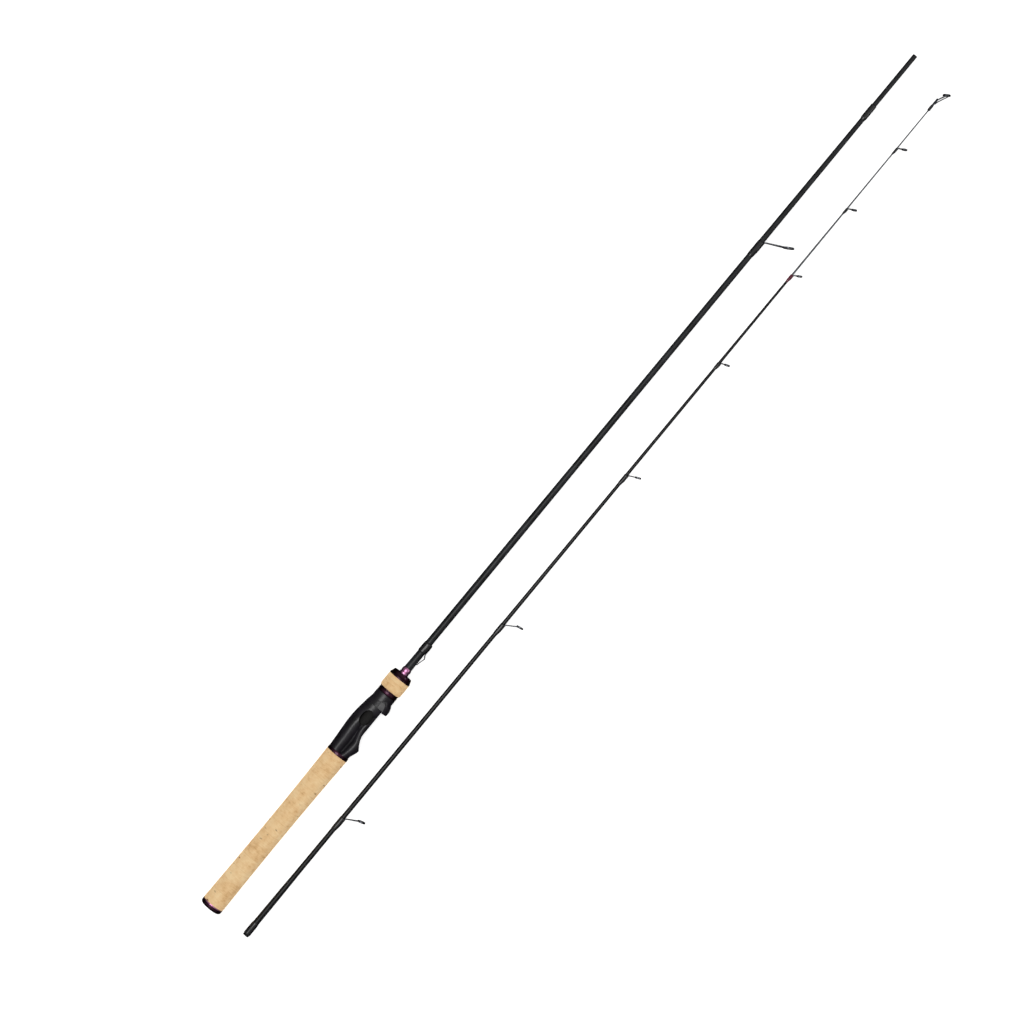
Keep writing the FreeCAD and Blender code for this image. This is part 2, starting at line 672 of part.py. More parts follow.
def add_hoop(body, ring_d, pose):
    """Add the round metal hoop of a guide and clear its bore."""
    axis = pose.Rotation.multVec(Vector(1, 0, 0))
    width = number("hoop_width")
    add_rod(body, "hoop", "Additive", pose.Base - axis * (width / 2), axis, f"{ring_d} / 2", width)
    length = 3 * width
    add_rod(body, "hoop_bore", "Subtractive", pose.Base - axis * (length / 2), axis,
            f"{ring_d} / 2 - hoop_wall", length)


def make_ceramic(label, ring_d, pose, place):
    """Make the polished ceramic ring that sits in a guide's hoop."""
    outer = f"{ring_d} / 2 - hoop_wall"
    inner = f"{outer} - ceramic_wall"
    return turned(label, [
        ("-ceramic_width / 2", outer), ("ceramic_width / 2", outer),
        ("ceramic_width / 2", f"{inner} + ceramic_wall / 2", "0", inner),
        ("-ceramic_width / 2", f"{inner} + ceramic_wall / 2"),
    ], place.multiply(pose))


def make_guide(name, blank, place):
    """Make one single-foot guide: a frame with two legs, its ceramic ring and its wrap."""
    ring_d, wire = f"{name}_ring_d", f"{name}_wire_d / 2"
    wrap_start = f"({name}_x - {name}_wrap)"
    wrap_end = f"({name}_x - {wire} - wrap_clear)"
    half_foot = f"{name}_wire_d * foot_share"
    surface = number(taper_radius(blank, wrap_start))
    foot_top = surface + number("foot_thickness")
    junction = number(f"{name}_x")
    lean = number(f"{name}_ring_lean")
    to_rim = Vector(math.sin(math.radians(lean)), -math.cos(math.radians(lean)), 0)
    radius = number(ring_d) / 2
    rim_y = -number(f"{name}_reach") + to_rim.x * number("hoop_width") / 2
    centre_y = rim_y - to_rim.y * radius
    climb = -(centre_y - to_rim.y * radius) - foot_top
    leg_run = math.tan(math.radians(number(f"{name}_leg_lean"))) * max(0.0, climb)
    centre = Vector(junction + leg_run + number(f"{name}_kink") + to_rim.x * radius, centre_y, 0)
    pose = ring_pose(centre, lean)

    frame = new_body(f"{name}_frame")
    add_block(frame, "foot", "Additive",
              (f"{wrap_start} + foot_inset", str(-foot_top), f"-{half_foot}"),
              (f"{name}_x + {wire}", str(-surface), half_foot))
    grip = math.radians(number("leg_grip"))
    root_reach = surface + number(f"{wire} + leg_clear")
    for index, side in enumerate((-1, 1)):
        root = Vector(junction, -root_reach, side * number(half_foot) / 2)
        held = radius - number("leg_bite")
        head = centre - to_rim * (held * math.cos(grip)) + Vector(0, 0, side * held * math.sin(grip))
        span = head - root
        add_rod(frame, f"leg_{index}", "Additive", root, span, wire, span.Length)
        add_ball(frame, f"root_{index}", root, wire)
    add_hoop(frame, ring_d, pose)
    frame.Placement = place

    make_ceramic(f"{name}_ring", ring_d, pose, place)

    wrap = new_body(f"{name}_wrap")
    crown = f"{foot_top} + wrap_crown"
    revolve(wrap, "thread", [
        (wrap_start, taper_radius(blank, wrap_start)),
        (f"{wrap_start} + wrap_ramp", crown), (wrap_end, crown),
        (wrap_end, taper_radius(blank, wrap_end)),
    ])
    add_block(wrap, "foot_slot", "Subtractive",
              (f"{wrap_start} + foot_inset", str(-foot_top), f"-{half_foot}"),
              (f"{name}_x + 1", "0", half_foot))
    wrap.Placement = place


def make_tip_top(place):
    """Make the tip-top: a tube glued on the solid tip, two wires, a hoop, its ring and a wrap."""
    tube = "tiptop_tube_d / 2"
    pose = ring_pose(Vector(number("tiptop_ring_x"), -number("tiptop_ring_reach"), 0), number("tiptop_lean"))
    frame = new_body("tip_top_frame")
    revolve(frame, "tube", [
        ("tiptop_tube_start", taper_radius("solid", "tiptop_tube_start")), ("tiptop_tube_start", tube),
        ("tiptop_tube_end", tube), ("tiptop_tube_end", "0"), ("solid_end", "0"),
        ("solid_end", taper_radius("solid", "solid_end")),
    ])
    held = number("tiptop_ring_d / 2 - leg_bite")
    for index, side in enumerate((-1, 1)):
        root = Vector(number("tiptop_tube_end - tiptop_wire_root"), -number("tiptop_wire_reach"),
                      side * number("tiptop_wire_spread"))
        span = pose.Base + Vector(0, 0, side * held) - root
        add_rod(frame, f"wire_{index}", "Additive", root, span, "tiptop_wire_d / 2", span.Length)
    lean = math.radians(number("tiptop_lean"))
    root = Vector(number("tiptop_tube_end - tiptop_brace_root"), -number(tube), 0)
    span = pose.Base + Vector(held * math.sin(lean), -held * math.cos(lean), 0) - root
    add_rod(frame, "brace", "Additive", root, span, "tiptop_wire_d / 2", span.Length)
    add_hoop(frame, "tiptop_ring_d", pose)
    frame.Placement = place
    make_ceramic("tip_top_ring", "tiptop_ring_d", pose, place)
    turned("tip_top_wrap", [
        ("tiptop_wrap_start", taper_radius("solid", "tiptop_wrap_start")),
        ("tiptop_wrap_start + 1", "tiptop_wrap_d / 2"), ("tiptop_wrap_end - 0.6", "tiptop_wrap_d / 2"),
        ("tiptop_wrap_end", f"{tube} + 0.05"), ("tiptop_wrap_end", tube), ("tiptop_tube_start", tube),
        ("tiptop_tube_start", taper_radius("solid", "tiptop_tube_start")),
    ], place)


def check_and_export():
    """Stop if any object failed, then write one STEP file for each sub-part."""
    for item in doc.Objects:
        if "Invalid" in item.State or "Error" in item.State:
            raise RuntimeError(f"{item.Name} failed: {item.State}")
    os.makedirs("parts", exist_ok=True)
    bodies = [item for item in doc.Objects if item.TypeId == "PartDesign::Body"]
    for body in bodies:
        shape = body.Shape
        if shape.isNull() or not shape.isValid() or len(shape.Solids) != 1:
            raise RuntimeError(f"{body.Label} is not one valid solid")
    for body in bodies:
        body.Shape.exportStep(f"parts/{body.Label}.step")
    print(f"{len(bodies)} sub-parts written")


add_rows()
doc = FreeCAD.newDocument("spinning_rod")
sheet = make_sheet()

# The palm swell carries the butt section, and the largest guide hoop carries the tip section.
rear_x = -number("butt_length") / 2
swell_back = max(back for station, back, front, half_width in SEAT_SWELL)
swell_half_width = max(half_width for station, back, front, half_width in SEAT_SWELL)
box_width = swell_back + number("section_gap") + number("guide_1_reach")
butt_y = box_width / 2 - swell_back
butt_place = Placement(Vector(rear_x, butt_y, swell_half_width), Rotation())
tip_place = Placement(Vector(rear_x + number("tip_lead"), butt_y - number("section_gap"),
                             number("guide_1_ring_d") / 2), Rotation())

make_butt_blank(butt_place)
make_rear_end(butt_place)
make_reel_seat(butt_place)
make_sliding_hood(butt_place)
make_lock_nut(butt_place)
make_winding_check(butt_place)
make_hook_keeper(butt_place)
make_guide("stripper", "butt", butt_place)
make_male_end(butt_place)
make_tip_blanks(tip_place)
for guide_number in range(1, len(TIP_GUIDES) + 1):
    guide_name = f"guide_{guide_number}"
    guide_blank = "solid" if number(f"{guide_name}_x - {guide_name}_wrap") >= number("tip_tube_end") else "tip"
    make_guide(guide_name, guide_blank, tip_place)
make_tip_top(tip_place)
doc.recompute()
check_and_export()
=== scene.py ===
"""The looks of a two-piece spinning rod, taken apart and laid down with its sections side by side.

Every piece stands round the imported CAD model, in metres and in its frame. Sizes in the classes are
millimetres. In both sections a "station" is the distance from the section's rear end, and "reach" is
the distance from its axis towards the reel side, along -Y.
"""

import logging
import math
from dataclasses import dataclass
from enum import Enum
from functools import partial

import bpy
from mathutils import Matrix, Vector


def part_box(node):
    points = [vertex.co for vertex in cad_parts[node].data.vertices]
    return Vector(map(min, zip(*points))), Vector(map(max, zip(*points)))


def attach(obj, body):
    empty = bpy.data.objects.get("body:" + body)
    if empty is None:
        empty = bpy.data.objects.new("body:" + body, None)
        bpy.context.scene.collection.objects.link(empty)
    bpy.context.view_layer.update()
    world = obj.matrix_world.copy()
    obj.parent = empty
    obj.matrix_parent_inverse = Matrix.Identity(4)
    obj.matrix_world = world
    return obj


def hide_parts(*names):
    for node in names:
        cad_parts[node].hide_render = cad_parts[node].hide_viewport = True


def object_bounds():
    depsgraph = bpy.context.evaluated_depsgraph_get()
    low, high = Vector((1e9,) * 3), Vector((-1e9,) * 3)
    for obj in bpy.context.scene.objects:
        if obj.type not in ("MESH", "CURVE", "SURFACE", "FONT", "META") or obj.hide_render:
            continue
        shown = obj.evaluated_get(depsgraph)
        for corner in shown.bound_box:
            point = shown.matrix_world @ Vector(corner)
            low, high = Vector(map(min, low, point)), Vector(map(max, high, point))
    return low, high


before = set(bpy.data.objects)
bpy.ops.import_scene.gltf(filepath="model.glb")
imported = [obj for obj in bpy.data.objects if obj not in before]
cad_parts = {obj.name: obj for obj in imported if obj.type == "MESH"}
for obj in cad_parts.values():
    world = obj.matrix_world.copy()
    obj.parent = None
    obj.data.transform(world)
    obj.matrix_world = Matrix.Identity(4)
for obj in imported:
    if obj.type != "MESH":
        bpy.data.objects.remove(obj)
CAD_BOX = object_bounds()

MM = 0.001
HALF_TURN = math.pi
LOG = logging.getLogger("spinning_rod")
Source = bpy.types.Node | bpy.types.NodeSocket


# ------------------------------------------------------------------ colours and nodes


def linear(colour: str) -> tuple[float, float, float, float]:
    """Turn an sRGB hex colour into the linear colour that a shader takes.

    Args:
        colour: The colour as "#RRGGBB".

    Returns:
        Red, green, blue and an alpha of 1, linear.
    """
    shares = [int(colour[i:i + 2], 16) / 255 for i in (1, 3, 5)]
    return (*(s / 12.92 if s <= 0.04045 else ((s + 0.055) / 1.055) ** 2.4 for s in shares), 1.0)


def per_metre(size: float) -> float:
    """Return the texture scale that makes one repeat of a pattern as long as size, in millimetres."""
    return 1 / (size * MM)


def first_output(value: object) -> object:
    """Return a node's first output, and anything else as it is."""
    return value.outputs[0] if isinstance(value, bpy.types.Node) else value


def add_node(tree: bpy.types.NodeTree, kind: str, sockets: dict | None = None,
             stops: list | None = None, **settings: object) -> bpy.types.Node:
    """Add a node with its settings, its socket values and its links.

    Args:
        tree: The node tree that gets the node.
        kind: The node's type without its prefix, such as "TexNoise".
        sockets: Input names or numbers, each with a value, an output socket to link from, or a
            node, which stands for its first output.
        stops: For a colour ramp, its (position, linear colour) pairs from low to high.
        settings: The node's own properties.

    Returns:
        The new node.
    """
    node = tree.nodes.new(f"ShaderNode{kind}")
    for name, value in settings.items():
        setattr(node, name, value)
    for name, value in (sockets or {}).items():
        value = first_output(value)
        if isinstance(value, bpy.types.NodeSocket):
            tree.links.new(value, node.inputs[name])
        else:
            node.inputs[name].default_value = value
    if stops:
        elements = node.color_ramp.elements
        elements.remove(elements[1])
        elements[0].position, elements[0].color = stops[0]
        for position, colour in stops[1:]:
            elements.new(position).color = colour
    return node


def start_material(name: str, **constants: object) -> tuple:
    """Start a material whose shader holds the values that are the same all over the surface.

    Args:
        name: The material's name.
        constants: Values by socket name, with _ for a space.

    Returns:
        The material, its Principled shader, the Object coordinates' socket and add_node for its tree.
    """
    material = bpy.data.materials.new(name)
    material.use_nodes = True
    tree = material.node_tree
    shader = tree.nodes["Principled BSDF"]
    for socket, value in constants.items():
        shader.inputs[socket.replace("_", " ")].default_value = value
    add = partial(add_node, tree)
    return material, shader, add("TexCoord").outputs["Object"], add


def skin(shader: bpy.types.Node, colour: Source, roughness: Source | None, height: Source,
         strength: float, depth: float) -> None:
    """Link what varies over a finish to its shader: its colour, its roughness and its relief.

    Args:
        shader: The Principled shader.
        colour: Where the colour comes from.
        roughness: Where the roughness comes from, or None where it is the same all over.
        height: Where the relief's height comes from.
        strength: How strongly the relief shows.
        depth: The relief's depth in millimetres.
    """
    tree = shader.id_data
    relief = add_node(tree, "Bump", {"Height": height, "Strength": strength, "Distance": depth * MM})
    for socket, value in (("Base Color", colour), ("Roughness", roughness), ("Normal", relief)):
        if value:
            tree.links.new(first_output(value), shader.inputs[socket])


def grey(level: float) -> tuple[float, float, float, float]:
    """Return a linear grey, for ramps that carry a number."""
    return (level, level, level, 1.0)


# ------------------------------------------------------------------ finishes


@dataclass(frozen=True)
class CorkFinish:
    """Flor-grade natural cork, glued up from half-inch rings, turned on a lathe and sanded.

    It gives the eye a warm matt skin that is mottled from ring to ring, short brown lenticels that
    have been filled and sanded flush, a few open pits, and a thin darker glue line at each ring.
    """

    name: str = "turned_cork"
    first_ring: float = 0.0
    ring: float = 12.7
    glue: float = 0.22
    light: str = "#F2D3A2"
    middle: str = "#E6BF8B"
    dark: str = "#C99A63"
    pit: str = "#6E472C"
    glue_tone: str = "#C49860"

    def build(self) -> bpy.types.Material:
        """Build the material and return it."""
        material, shader, place, add = start_material(self.name, Specular_IOR_Level=0.3)
        along = add("Mapping", {"Vector": place, "Location": (-self.first_ring, 0, 0)})
        split = add("SeparateXYZ", {0: along})
        count = add("Math", {0: split.outputs["X"], 1: self.ring * MM}, operation="DIVIDE")
        whole = add("Math", {0: count}, operation="FLOOR")
        tone = add("TexWhiteNoise", {"W": whole}, noise_dimensions="1D")
        part = add("Math", {0: count, 1: 0.5}, operation="PINGPONG")
        seam = add("MapRange", {"Value": part, "From Min": 0.0, "From Max": self.glue / self.ring,
            "To Min": 1.0, "To Max": 0.0})
        mottle = add("TexNoise", {"Vector": place, "Scale": per_metre(7.0), "Detail": 6.0,
            "Roughness": 0.62})
        grain_place = add("Mapping", {"Vector": place, "Scale": (1.0, 0.22, 0.22)})
        grain = add("TexNoise", {"Vector": grain_place, "Scale": per_metre(1.1), "Detail": 4.0,
            "Roughness": 0.6})
        shade = add("Math", {0: mottle, 1: 0.72, 2: 0.0}, operation="MULTIPLY_ADD")
        shade = add("Math", {0: grain, 1: 0.38, 2: shade}, operation="MULTIPLY_ADD")
        shade = add("Math", {0: tone, 1: 0.10, 2: shade}, operation="MULTIPLY_ADD")
        tint = add("ValToRGB", {0: shade}, stops=[(0.36, linear(self.dark)), (0.54, linear(self.middle)),
            (0.76, linear(self.light))])
        # Lenticels: about 1 mm wide and 2.5 mm long, in cells of 3.4 by 7.6 mm. Most cells have none.
        cell_place = add("Mapping", {"Vector": place, "Scale": (1.0, 0.45, 0.45)})
        warp = add("TexNoise", {"Vector": place, "Scale": per_metre(2.0), "Detail": 2.0})
        bent = add("VectorMath", {0: warp.outputs["Color"], 1: (0.0012, 0.0012, 0.0012), 2: cell_place},
            operation="MULTIPLY_ADD")
        cells = add("TexVoronoi", {"Vector": bent, "Scale": per_metre(3.4), "Randomness": 1.0})
        spot = add("MapRange", {"Value": cells, "From Min": 0.10, "From Max": 0.26, "To Min": 1.0,
            "To Max": 0.0})
        chosen = add("SeparateColor", {0: cells.outputs["Color"]})
        kept = add("MapRange", {"Value": chosen.outputs["Red"], "From Min": 0.55, "From Max": 0.95})
        pits = add("Math", {0: spot, 1: kept}, operation="MULTIPLY")
        pitted = add("Mix", {0: pits, 6: tint, 7: linear(self.pit)}, data_type="RGBA")
        line = add("Math", {0: seam, 1: 0.4}, operation="MULTIPLY")
        glued = add("Mix", {0: line, 6: pitted.outputs[2], 7: linear(self.glue_tone)}, data_type="RGBA")
        rough = add("MapRange", {"Value": grain, "To Min": 0.68, "To Max": 0.92})
        level = add("Math", {0: pits, 1: -1.0, 2: grain}, operation="MULTIPLY_ADD")
        skin(shader, glued.outputs[2], rough, level, strength=0.5, depth=0.12)
        return material


@dataclass(frozen=True)
class AnodisedFinish:
    """Aluminium, turned on a lathe, then anodised and dyed.

    The clear oxide skin holds the dye, so the metal's own highlights come out in the dye's colour
    under a paler gloss, and the tool's fine rings still show through as a silky band.
    """

    name: str
    dye: str
    worn: str
    roughness: float = 0.24
    tool_mark: float = 0.30

    def build(self) -> bpy.types.Material:
        """Build the material and return it."""
        material, shader, place, add = start_material(
            self.name, Metallic=1.0, Coat_Weight=0.35, Coat_Roughness=0.12)
        # Real tool marks are about 0.05 mm apart. They are drawn coarser, or they would not show.
        squeezed = add("Mapping", {"Vector": place, "Scale": (1.0, 0.02, 0.02)})
        marks = add("TexNoise", {"Vector": squeezed, "Scale": per_metre(self.tool_mark), "Detail": 3.0})
        handled = add("TexNoise", {"Vector": place, "Scale": per_metre(2.5), "Detail": 5.0,
            "Roughness": 0.65})
        dye = add("ValToRGB", {0: handled}, stops=[(0.35, linear(self.dye)), (0.75, linear(self.worn))])
        rough = add("MapRange", {"Value": handled, "To Min": self.roughness * 0.75,
            "To Max": self.roughness * 1.35})
        skin(shader, dye, rough, marks, strength=0.35, depth=0.03)
        return material


@dataclass(frozen=True)
class MouldedNylonFinish:
    """Glass-filled nylon, injection moulded in a polished tool, as reel seats are.

    The skin is almost black and half gloss. A very slight orange peel breaks the highlight, the
    fibres near the skin give it a faint speckle, and handling leaves duller patches.
    """

    name: str = "moulded_nylon"
    body: str = "#0D0B0F"
    haze: str = "#1A171E"
    roughness: float = 0.38

    def build(self) -> bpy.types.Material:
        """Build the material and return it."""
        material, shader, place, add = start_material(
            self.name, IOR=1.46, Specular_IOR_Level=0.42, Coat_Weight=0.06, Coat_Roughness=0.2)
        haze = add("TexNoise", {"Vector": place, "Scale": per_metre(9.0), "Detail": 5.0,
            "Roughness": 0.6})
        speckle = add("TexNoise", {"Vector": place, "Scale": per_metre(0.35), "Detail": 2.0})
        blend = add("Math", {0: speckle, 1: 0.35, 2: haze}, operation="MULTIPLY_ADD")
        body = add("ValToRGB", {0: blend}, stops=[(0.50, linear(self.body)), (0.85, linear(self.haze))])
        rough = add("MapRange", {"Value": haze, "From Min": 0.3, "From Max": 0.7,
            "To Min": self.roughness * 0.8, "To Max": self.roughness * 1.3})
        peel = add("TexNoise", {"Vector": place, "Scale": per_metre(1.4), "Detail": 2.0})
        skin(shader, body, rough, peel, strength=0.25, depth=0.05)
        return material


@dataclass(frozen=True)
class RolledBlankFinish:
    """A rod blank: fibre cloth rolled on a mandrel, bound with tape, cured and varnished.

    The tape leaves a low spiral ridge every few millimetres, the fibres run along the blank as faint
    streaks, and a thin varnish gives it a soft, broken highlight. The solid tip, which is drawn from
    glass fibre and then ground, takes the same finish, only greyer and duller.
    """

    name: str
    body: str
    streak: str
    roughness: float
    varnish: float
    tape: float = 3.2
    fibre: float = 0.45

    def build(self) -> bpy.types.Material:
        """Build the material and return it."""
        material, shader, place, add = start_material(
            self.name, IOR=1.45, Specular_IOR_Level=0.24, Coat_Weight=self.varnish, Coat_Roughness=0.14)
        # Carbon tows are far finer than 0.45 mm. They are drawn that wide, or they would not show.
        lengthwise = add("Mapping", {"Vector": place, "Scale": (0.03, 1.0, 1.0)})
        fibres = add("TexNoise", {"Vector": lengthwise, "Scale": per_metre(self.fibre), "Detail": 3.0})
        slant = add("Mapping", {"Vector": place, "Rotation": (0.0, math.radians(14), math.radians(9))})
        ridge = add("TexWave", {"Vector": slant, "Scale": per_metre(self.tape) / 20, "Distortion": 1.2,
            "Detail": 2.0, "Detail Scale": 1.5}, wave_type="BANDS", bands_direction="X")
        blotch = add("TexNoise", {"Vector": place, "Scale": per_metre(16.0), "Detail": 4.0,
            "Roughness": 0.6})
        mixed = add("Math", {0: ridge.outputs["Fac"], 1: 0.22, 2: blotch}, operation="MULTIPLY_ADD")
        mixed = add("Math", {0: fibres, 1: 0.30, 2: mixed}, operation="MULTIPLY_ADD")
        body = add("ValToRGB", {0: mixed}, stops=[(0.50, linear(self.body)), (1.02, linear(self.streak))])
        rough = add("MapRange", {"Value": fibres, "From Min": 0.3, "From Max": 0.7,
            "To Min": self.roughness * 0.8, "To Max": self.roughness * 1.25})
        skin(shader, body, rough, ridge.outputs["Fac"], strength=0.35, depth=0.05)
        return material


@dataclass(frozen=True)
class ThreadWrapFinish:
    """Nylon winding thread, laid turn against turn and flooded with clear rod epoxy.

    The thread's close ridges only show as a fine banding under the epoxy, whose own skin is as
    smooth and wet as glass, so it carries the sharp highlight.
    """

    name: str
    thread: str
    shine: str
    pitch: float = 0.3

    def build(self) -> bpy.types.Material:
        """Build the material and return it."""
        material, shader, place, add = start_material(
            self.name, Roughness=0.5, Specular_IOR_Level=0.2, Coat_Weight=0.6, Coat_Roughness=0.03,
            Coat_IOR=1.5)
        # The thread is 0.15 mm thick. Its turns are drawn twice as coarse, or they would not show.
        turns = add("TexWave", {"Vector": place, "Scale": per_metre(self.pitch) / 20, "Distortion": 0.4,
            "Detail": 1.0}, wave_type="BANDS", bands_direction="X")
        soaked = add("TexNoise", {"Vector": place, "Scale": per_metre(1.8), "Detail": 3.0})
        blend = add("Math", {0: turns.outputs["Fac"], 1: 0.45, 2: soaked}, operation="MULTIPLY_ADD")
        thread = add("ValToRGB", {0: blend}, stops=[(0.45, linear(self.thread)),
            (1.0, linear(self.shine))])
        skin(shader, thread, None, turns.outputs["Fac"], strength=0.5, depth=0.05)
        return material


@dataclass(frozen=True)
class PolishedSteelFinish:
    """Stainless steel, stamped or drawn, tumbled until it is bright.

    Tumbling leaves a soft grey mirror with fine crossing scuffs, a little duller in the hollows.
    """

    name: str
    metal: str
    dull: str
    roughness: float = 0.22

    def build(self) -> bpy.types.Material:
        """Build the material and return it."""
        material, shader, place, add = start_material(self.name, Metallic=1.0)
        cloud = add("TexNoise", {"Vector": place, "Scale": per_metre(1.6), "Detail": 5.0,
            "Roughness": 0.65})
        metal = add("ValToRGB", {0: cloud}, stops=[(0.35, linear(self.dull)), (0.65, linear(self.metal))])
        rough = add("MapRange", {"Value": cloud, "From Min": 0.3, "From Max": 0.7,
            "To Min": self.roughness * 1.5, "To Max": self.roughness * 0.7})
        scuff_place = add("Mapping", {"Vector": place, "Rotation": (0.4, 0.7, 0.3),
            "Scale": (0.15, 1.0, 1.0)})
        scuffs = add("TexNoise", {"Vector": scuff_place, "Scale": per_metre(0.25), "Detail": 3.0})
        skin(shader, metal, rough, scuffs, strength=0.3, depth=0.02)
        return material


@dataclass(frozen=True)
class CeramicFinish:
    """Alumina ceramic, pressed, fired black and diamond polished, as line guide inserts are.

    It gives the eye a hard, wet black gloss with only a trace of the fired grain.
    """

    name: str = "fired_alumina"
    body: str = "#141416"
    grain: str = "#2A2A2D"

    def build(self) -> bpy.types.Material:
        """Build the material and return it."""
        material, shader, place, add = start_material(
            self.name, IOR=1.76, Coat_Weight=0.3, Coat_Roughness=0.05)
        grains = add("TexVoronoi", {"Vector": place, "Scale": per_metre(0.3)})
        cloud = add("TexNoise", {"Vector": place, "Scale": per_metre(1.2), "Detail": 3.0})
        blend = add("Math", {0: grains, 1: 0.4, 2: cloud}, operation="MULTIPLY_ADD")
        body = add("ValToRGB", {0: blend}, stops=[(0.45, linear(self.body)), (1.0, linear(self.grain))])
        rough = add("MapRange", {"Value": cloud, "To Min": 0.08, "To Max": 0.2})
        skin(shader, body, rough, cloud, strength=0.1, depth=0.02)
        return material


@dataclass(frozen=True)
class FoamFinish:
    """Rigid polyurethane foam, cut into the arbors that centre the seat on the blank.

    A dull brown-black open grain. The seat hides the arbors, and the nut's sleeve takes the same
    finish under its cork.
    """

    name: str = "cut_foam"
    body: str = "#0C0B0A"
    cell: str = "#171513"

    def build(self) -> bpy.types.Material:
        """Build the material and return it."""
        material, shader, place, add = start_material(self.name, Roughness=0.9)
        cells = add("TexVoronoi", {"Vector": place, "Scale": per_metre(0.5)})
        body = add("ValToRGB", {0: cells}, stops=[(0.2, linear(self.cell)), (0.7, linear(self.body))])
        skin(shader, body, None, cells, strength=0.6, depth=0.1)
        return material


class Slot(Enum):
    """The record's material slots that the pieces take their finishes from."""

    CORK = "cork"
    DARK_ANODISED = "dark_anodised"
    BRIGHT_ANODISED = "bright_anodised"
    SEAT_PLASTIC = "seat_plastic"
    BUTT_BLANK = "butt_blank"
    TIP_BLANK = "tip_blank"
    SOLID_TIP = "solid_tip"
    BLACK_WRAP = "black_wrap"
    RED_WRAP = "red_wrap"
    GUIDE_STEEL = "guide_steel"
    KEEPER_STEEL = "keeper_steel"
    RING_CERAMIC = "ring_ceramic"
    ARBOR = "arbor"


def build_finishes() -> dict[Slot, bpy.types.Material]:
    """Build one material for each slot and return them by slot."""
    finishes = {
        Slot.CORK: CorkFinish(first_ring=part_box("rear_grip")[0].x),
        Slot.DARK_ANODISED: AnodisedFinish("dark_purple_anodised", "#2A0C1E", "#401830", 0.36),
        Slot.BRIGHT_ANODISED: AnodisedFinish("bright_purple_anodised", "#A8648F", "#D298BC", 0.3),
        Slot.SEAT_PLASTIC: MouldedNylonFinish(),
        Slot.BUTT_BLANK: RolledBlankFinish("carbon_blank_satin", "#0E0F10", "#232528", 0.40, 0.05),
        Slot.TIP_BLANK: RolledBlankFinish("carbon_blank_gloss", "#050506", "#101112", 0.30, 0.08),
        Slot.SOLID_TIP: RolledBlankFinish("solid_glass_tip", "#3C3F42", "#606366", 0.5, 0.1),
        Slot.BLACK_WRAP: ThreadWrapFinish("black_thread_epoxy", "#040405", "#0E0E11"),
        Slot.RED_WRAP: ThreadWrapFinish("red_thread_epoxy", "#3A0616", "#6A1030"),
        Slot.GUIDE_STEEL: PolishedSteelFinish("tumbled_steel", "#63656A", "#35373A"),
        Slot.KEEPER_STEEL: PolishedSteelFinish("dark_steel", "#303134", "#17181A", 0.3),
        Slot.RING_CERAMIC: CeramicFinish(),
        Slot.ARBOR: FoamFinish(),
    }
    return {slot: finish.build() for slot, finish in finishes.items()}


# ------------------------------------------------------------------ the axes and the turning tools


@dataclass(frozen=True)
class Axis:
    """The axis of one section, from the middle of its rear end."""

    rear: Vector
    body: str

    def at(self, station: float, reach: float = 0.0, height: float = 0.0) -> Vector:
        """Return the point at a station, reach and height, given in millimetres, in the frame."""
        return self.rear + Vector((station, -reach, height)) * MM

    def station(self, x: float) -> float:
        """Return the station of a place on the frame's X axis, in millimetres."""
        return (x - self.rear.x) / MM

    def span(self, node: str) -> tuple[float, float]:
        """Return the stations where a CAD node starts and ends."""
        low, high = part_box(node)
        return self.station(low.x), self.station(high.x)


class Outline:
    """The outside of a turned CAD node: its radius at any station."""

    def __init__(self, node: str, axis: Axis) -> None:
        """Read the rings of corners of the faces that look away from the axis.

        Args:
            node: The CAD node.
            axis: The section that the node is centred on.
        """
        rings: dict[float, float] = {}
        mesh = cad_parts[node].data
        for face in mesh.polygons:
            out = Vector((0.0, face.center.y - axis.rear.y, face.center.z - axis.rear.z))
            if out.length < 1e-6 or face.normal.dot(out.normalized()) < 0.3:
                continue
            for corner in (mesh.vertices[index].co for index in face.vertices):
                station = round(axis.station(corner.x), 2)
                radius = math.hypot(corner.y - axis.rear.y, corner.z - axis.rear.z) / MM
                rings[station] = max(rings.get(station, 0.0), radius)
        self.rings = sorted(rings.items())

    def radius(self, station: float) -> float:
        """Return the radius at a station, in millimetres, from the two rings beside it."""
        before = [ring for ring in self.rings if ring[0] <= station] or self.rings[:1]
        after = [ring for ring in self.rings if ring[0] > station] or self.rings[-1:]
        (start, first), (stop, last) = before[-1], after[0]
        share = (station - start) / (stop - start) if stop > start else 0.0
        return first + (last - first) * min(max(share, 0.0), 1.0)


@dataclass(frozen=True)
class Ring:
    """One cross-section of a piece: an ellipse square to the axis, in millimetres."""

    station: float
    radius: float
    half_width: float | None = None
    shift: float = 0.0


class End(Enum):
    """How a shell is closed after its last cross-section."""

    CAPPED = "a face over the first section and one over the last"
    JOINED = "a band of faces from the last section back to the first"


def deselect() -> None:
    """Deselect every object, so that an operator acts only on the new one."""
    bpy.ops.object.select_all(action="DESELECT")


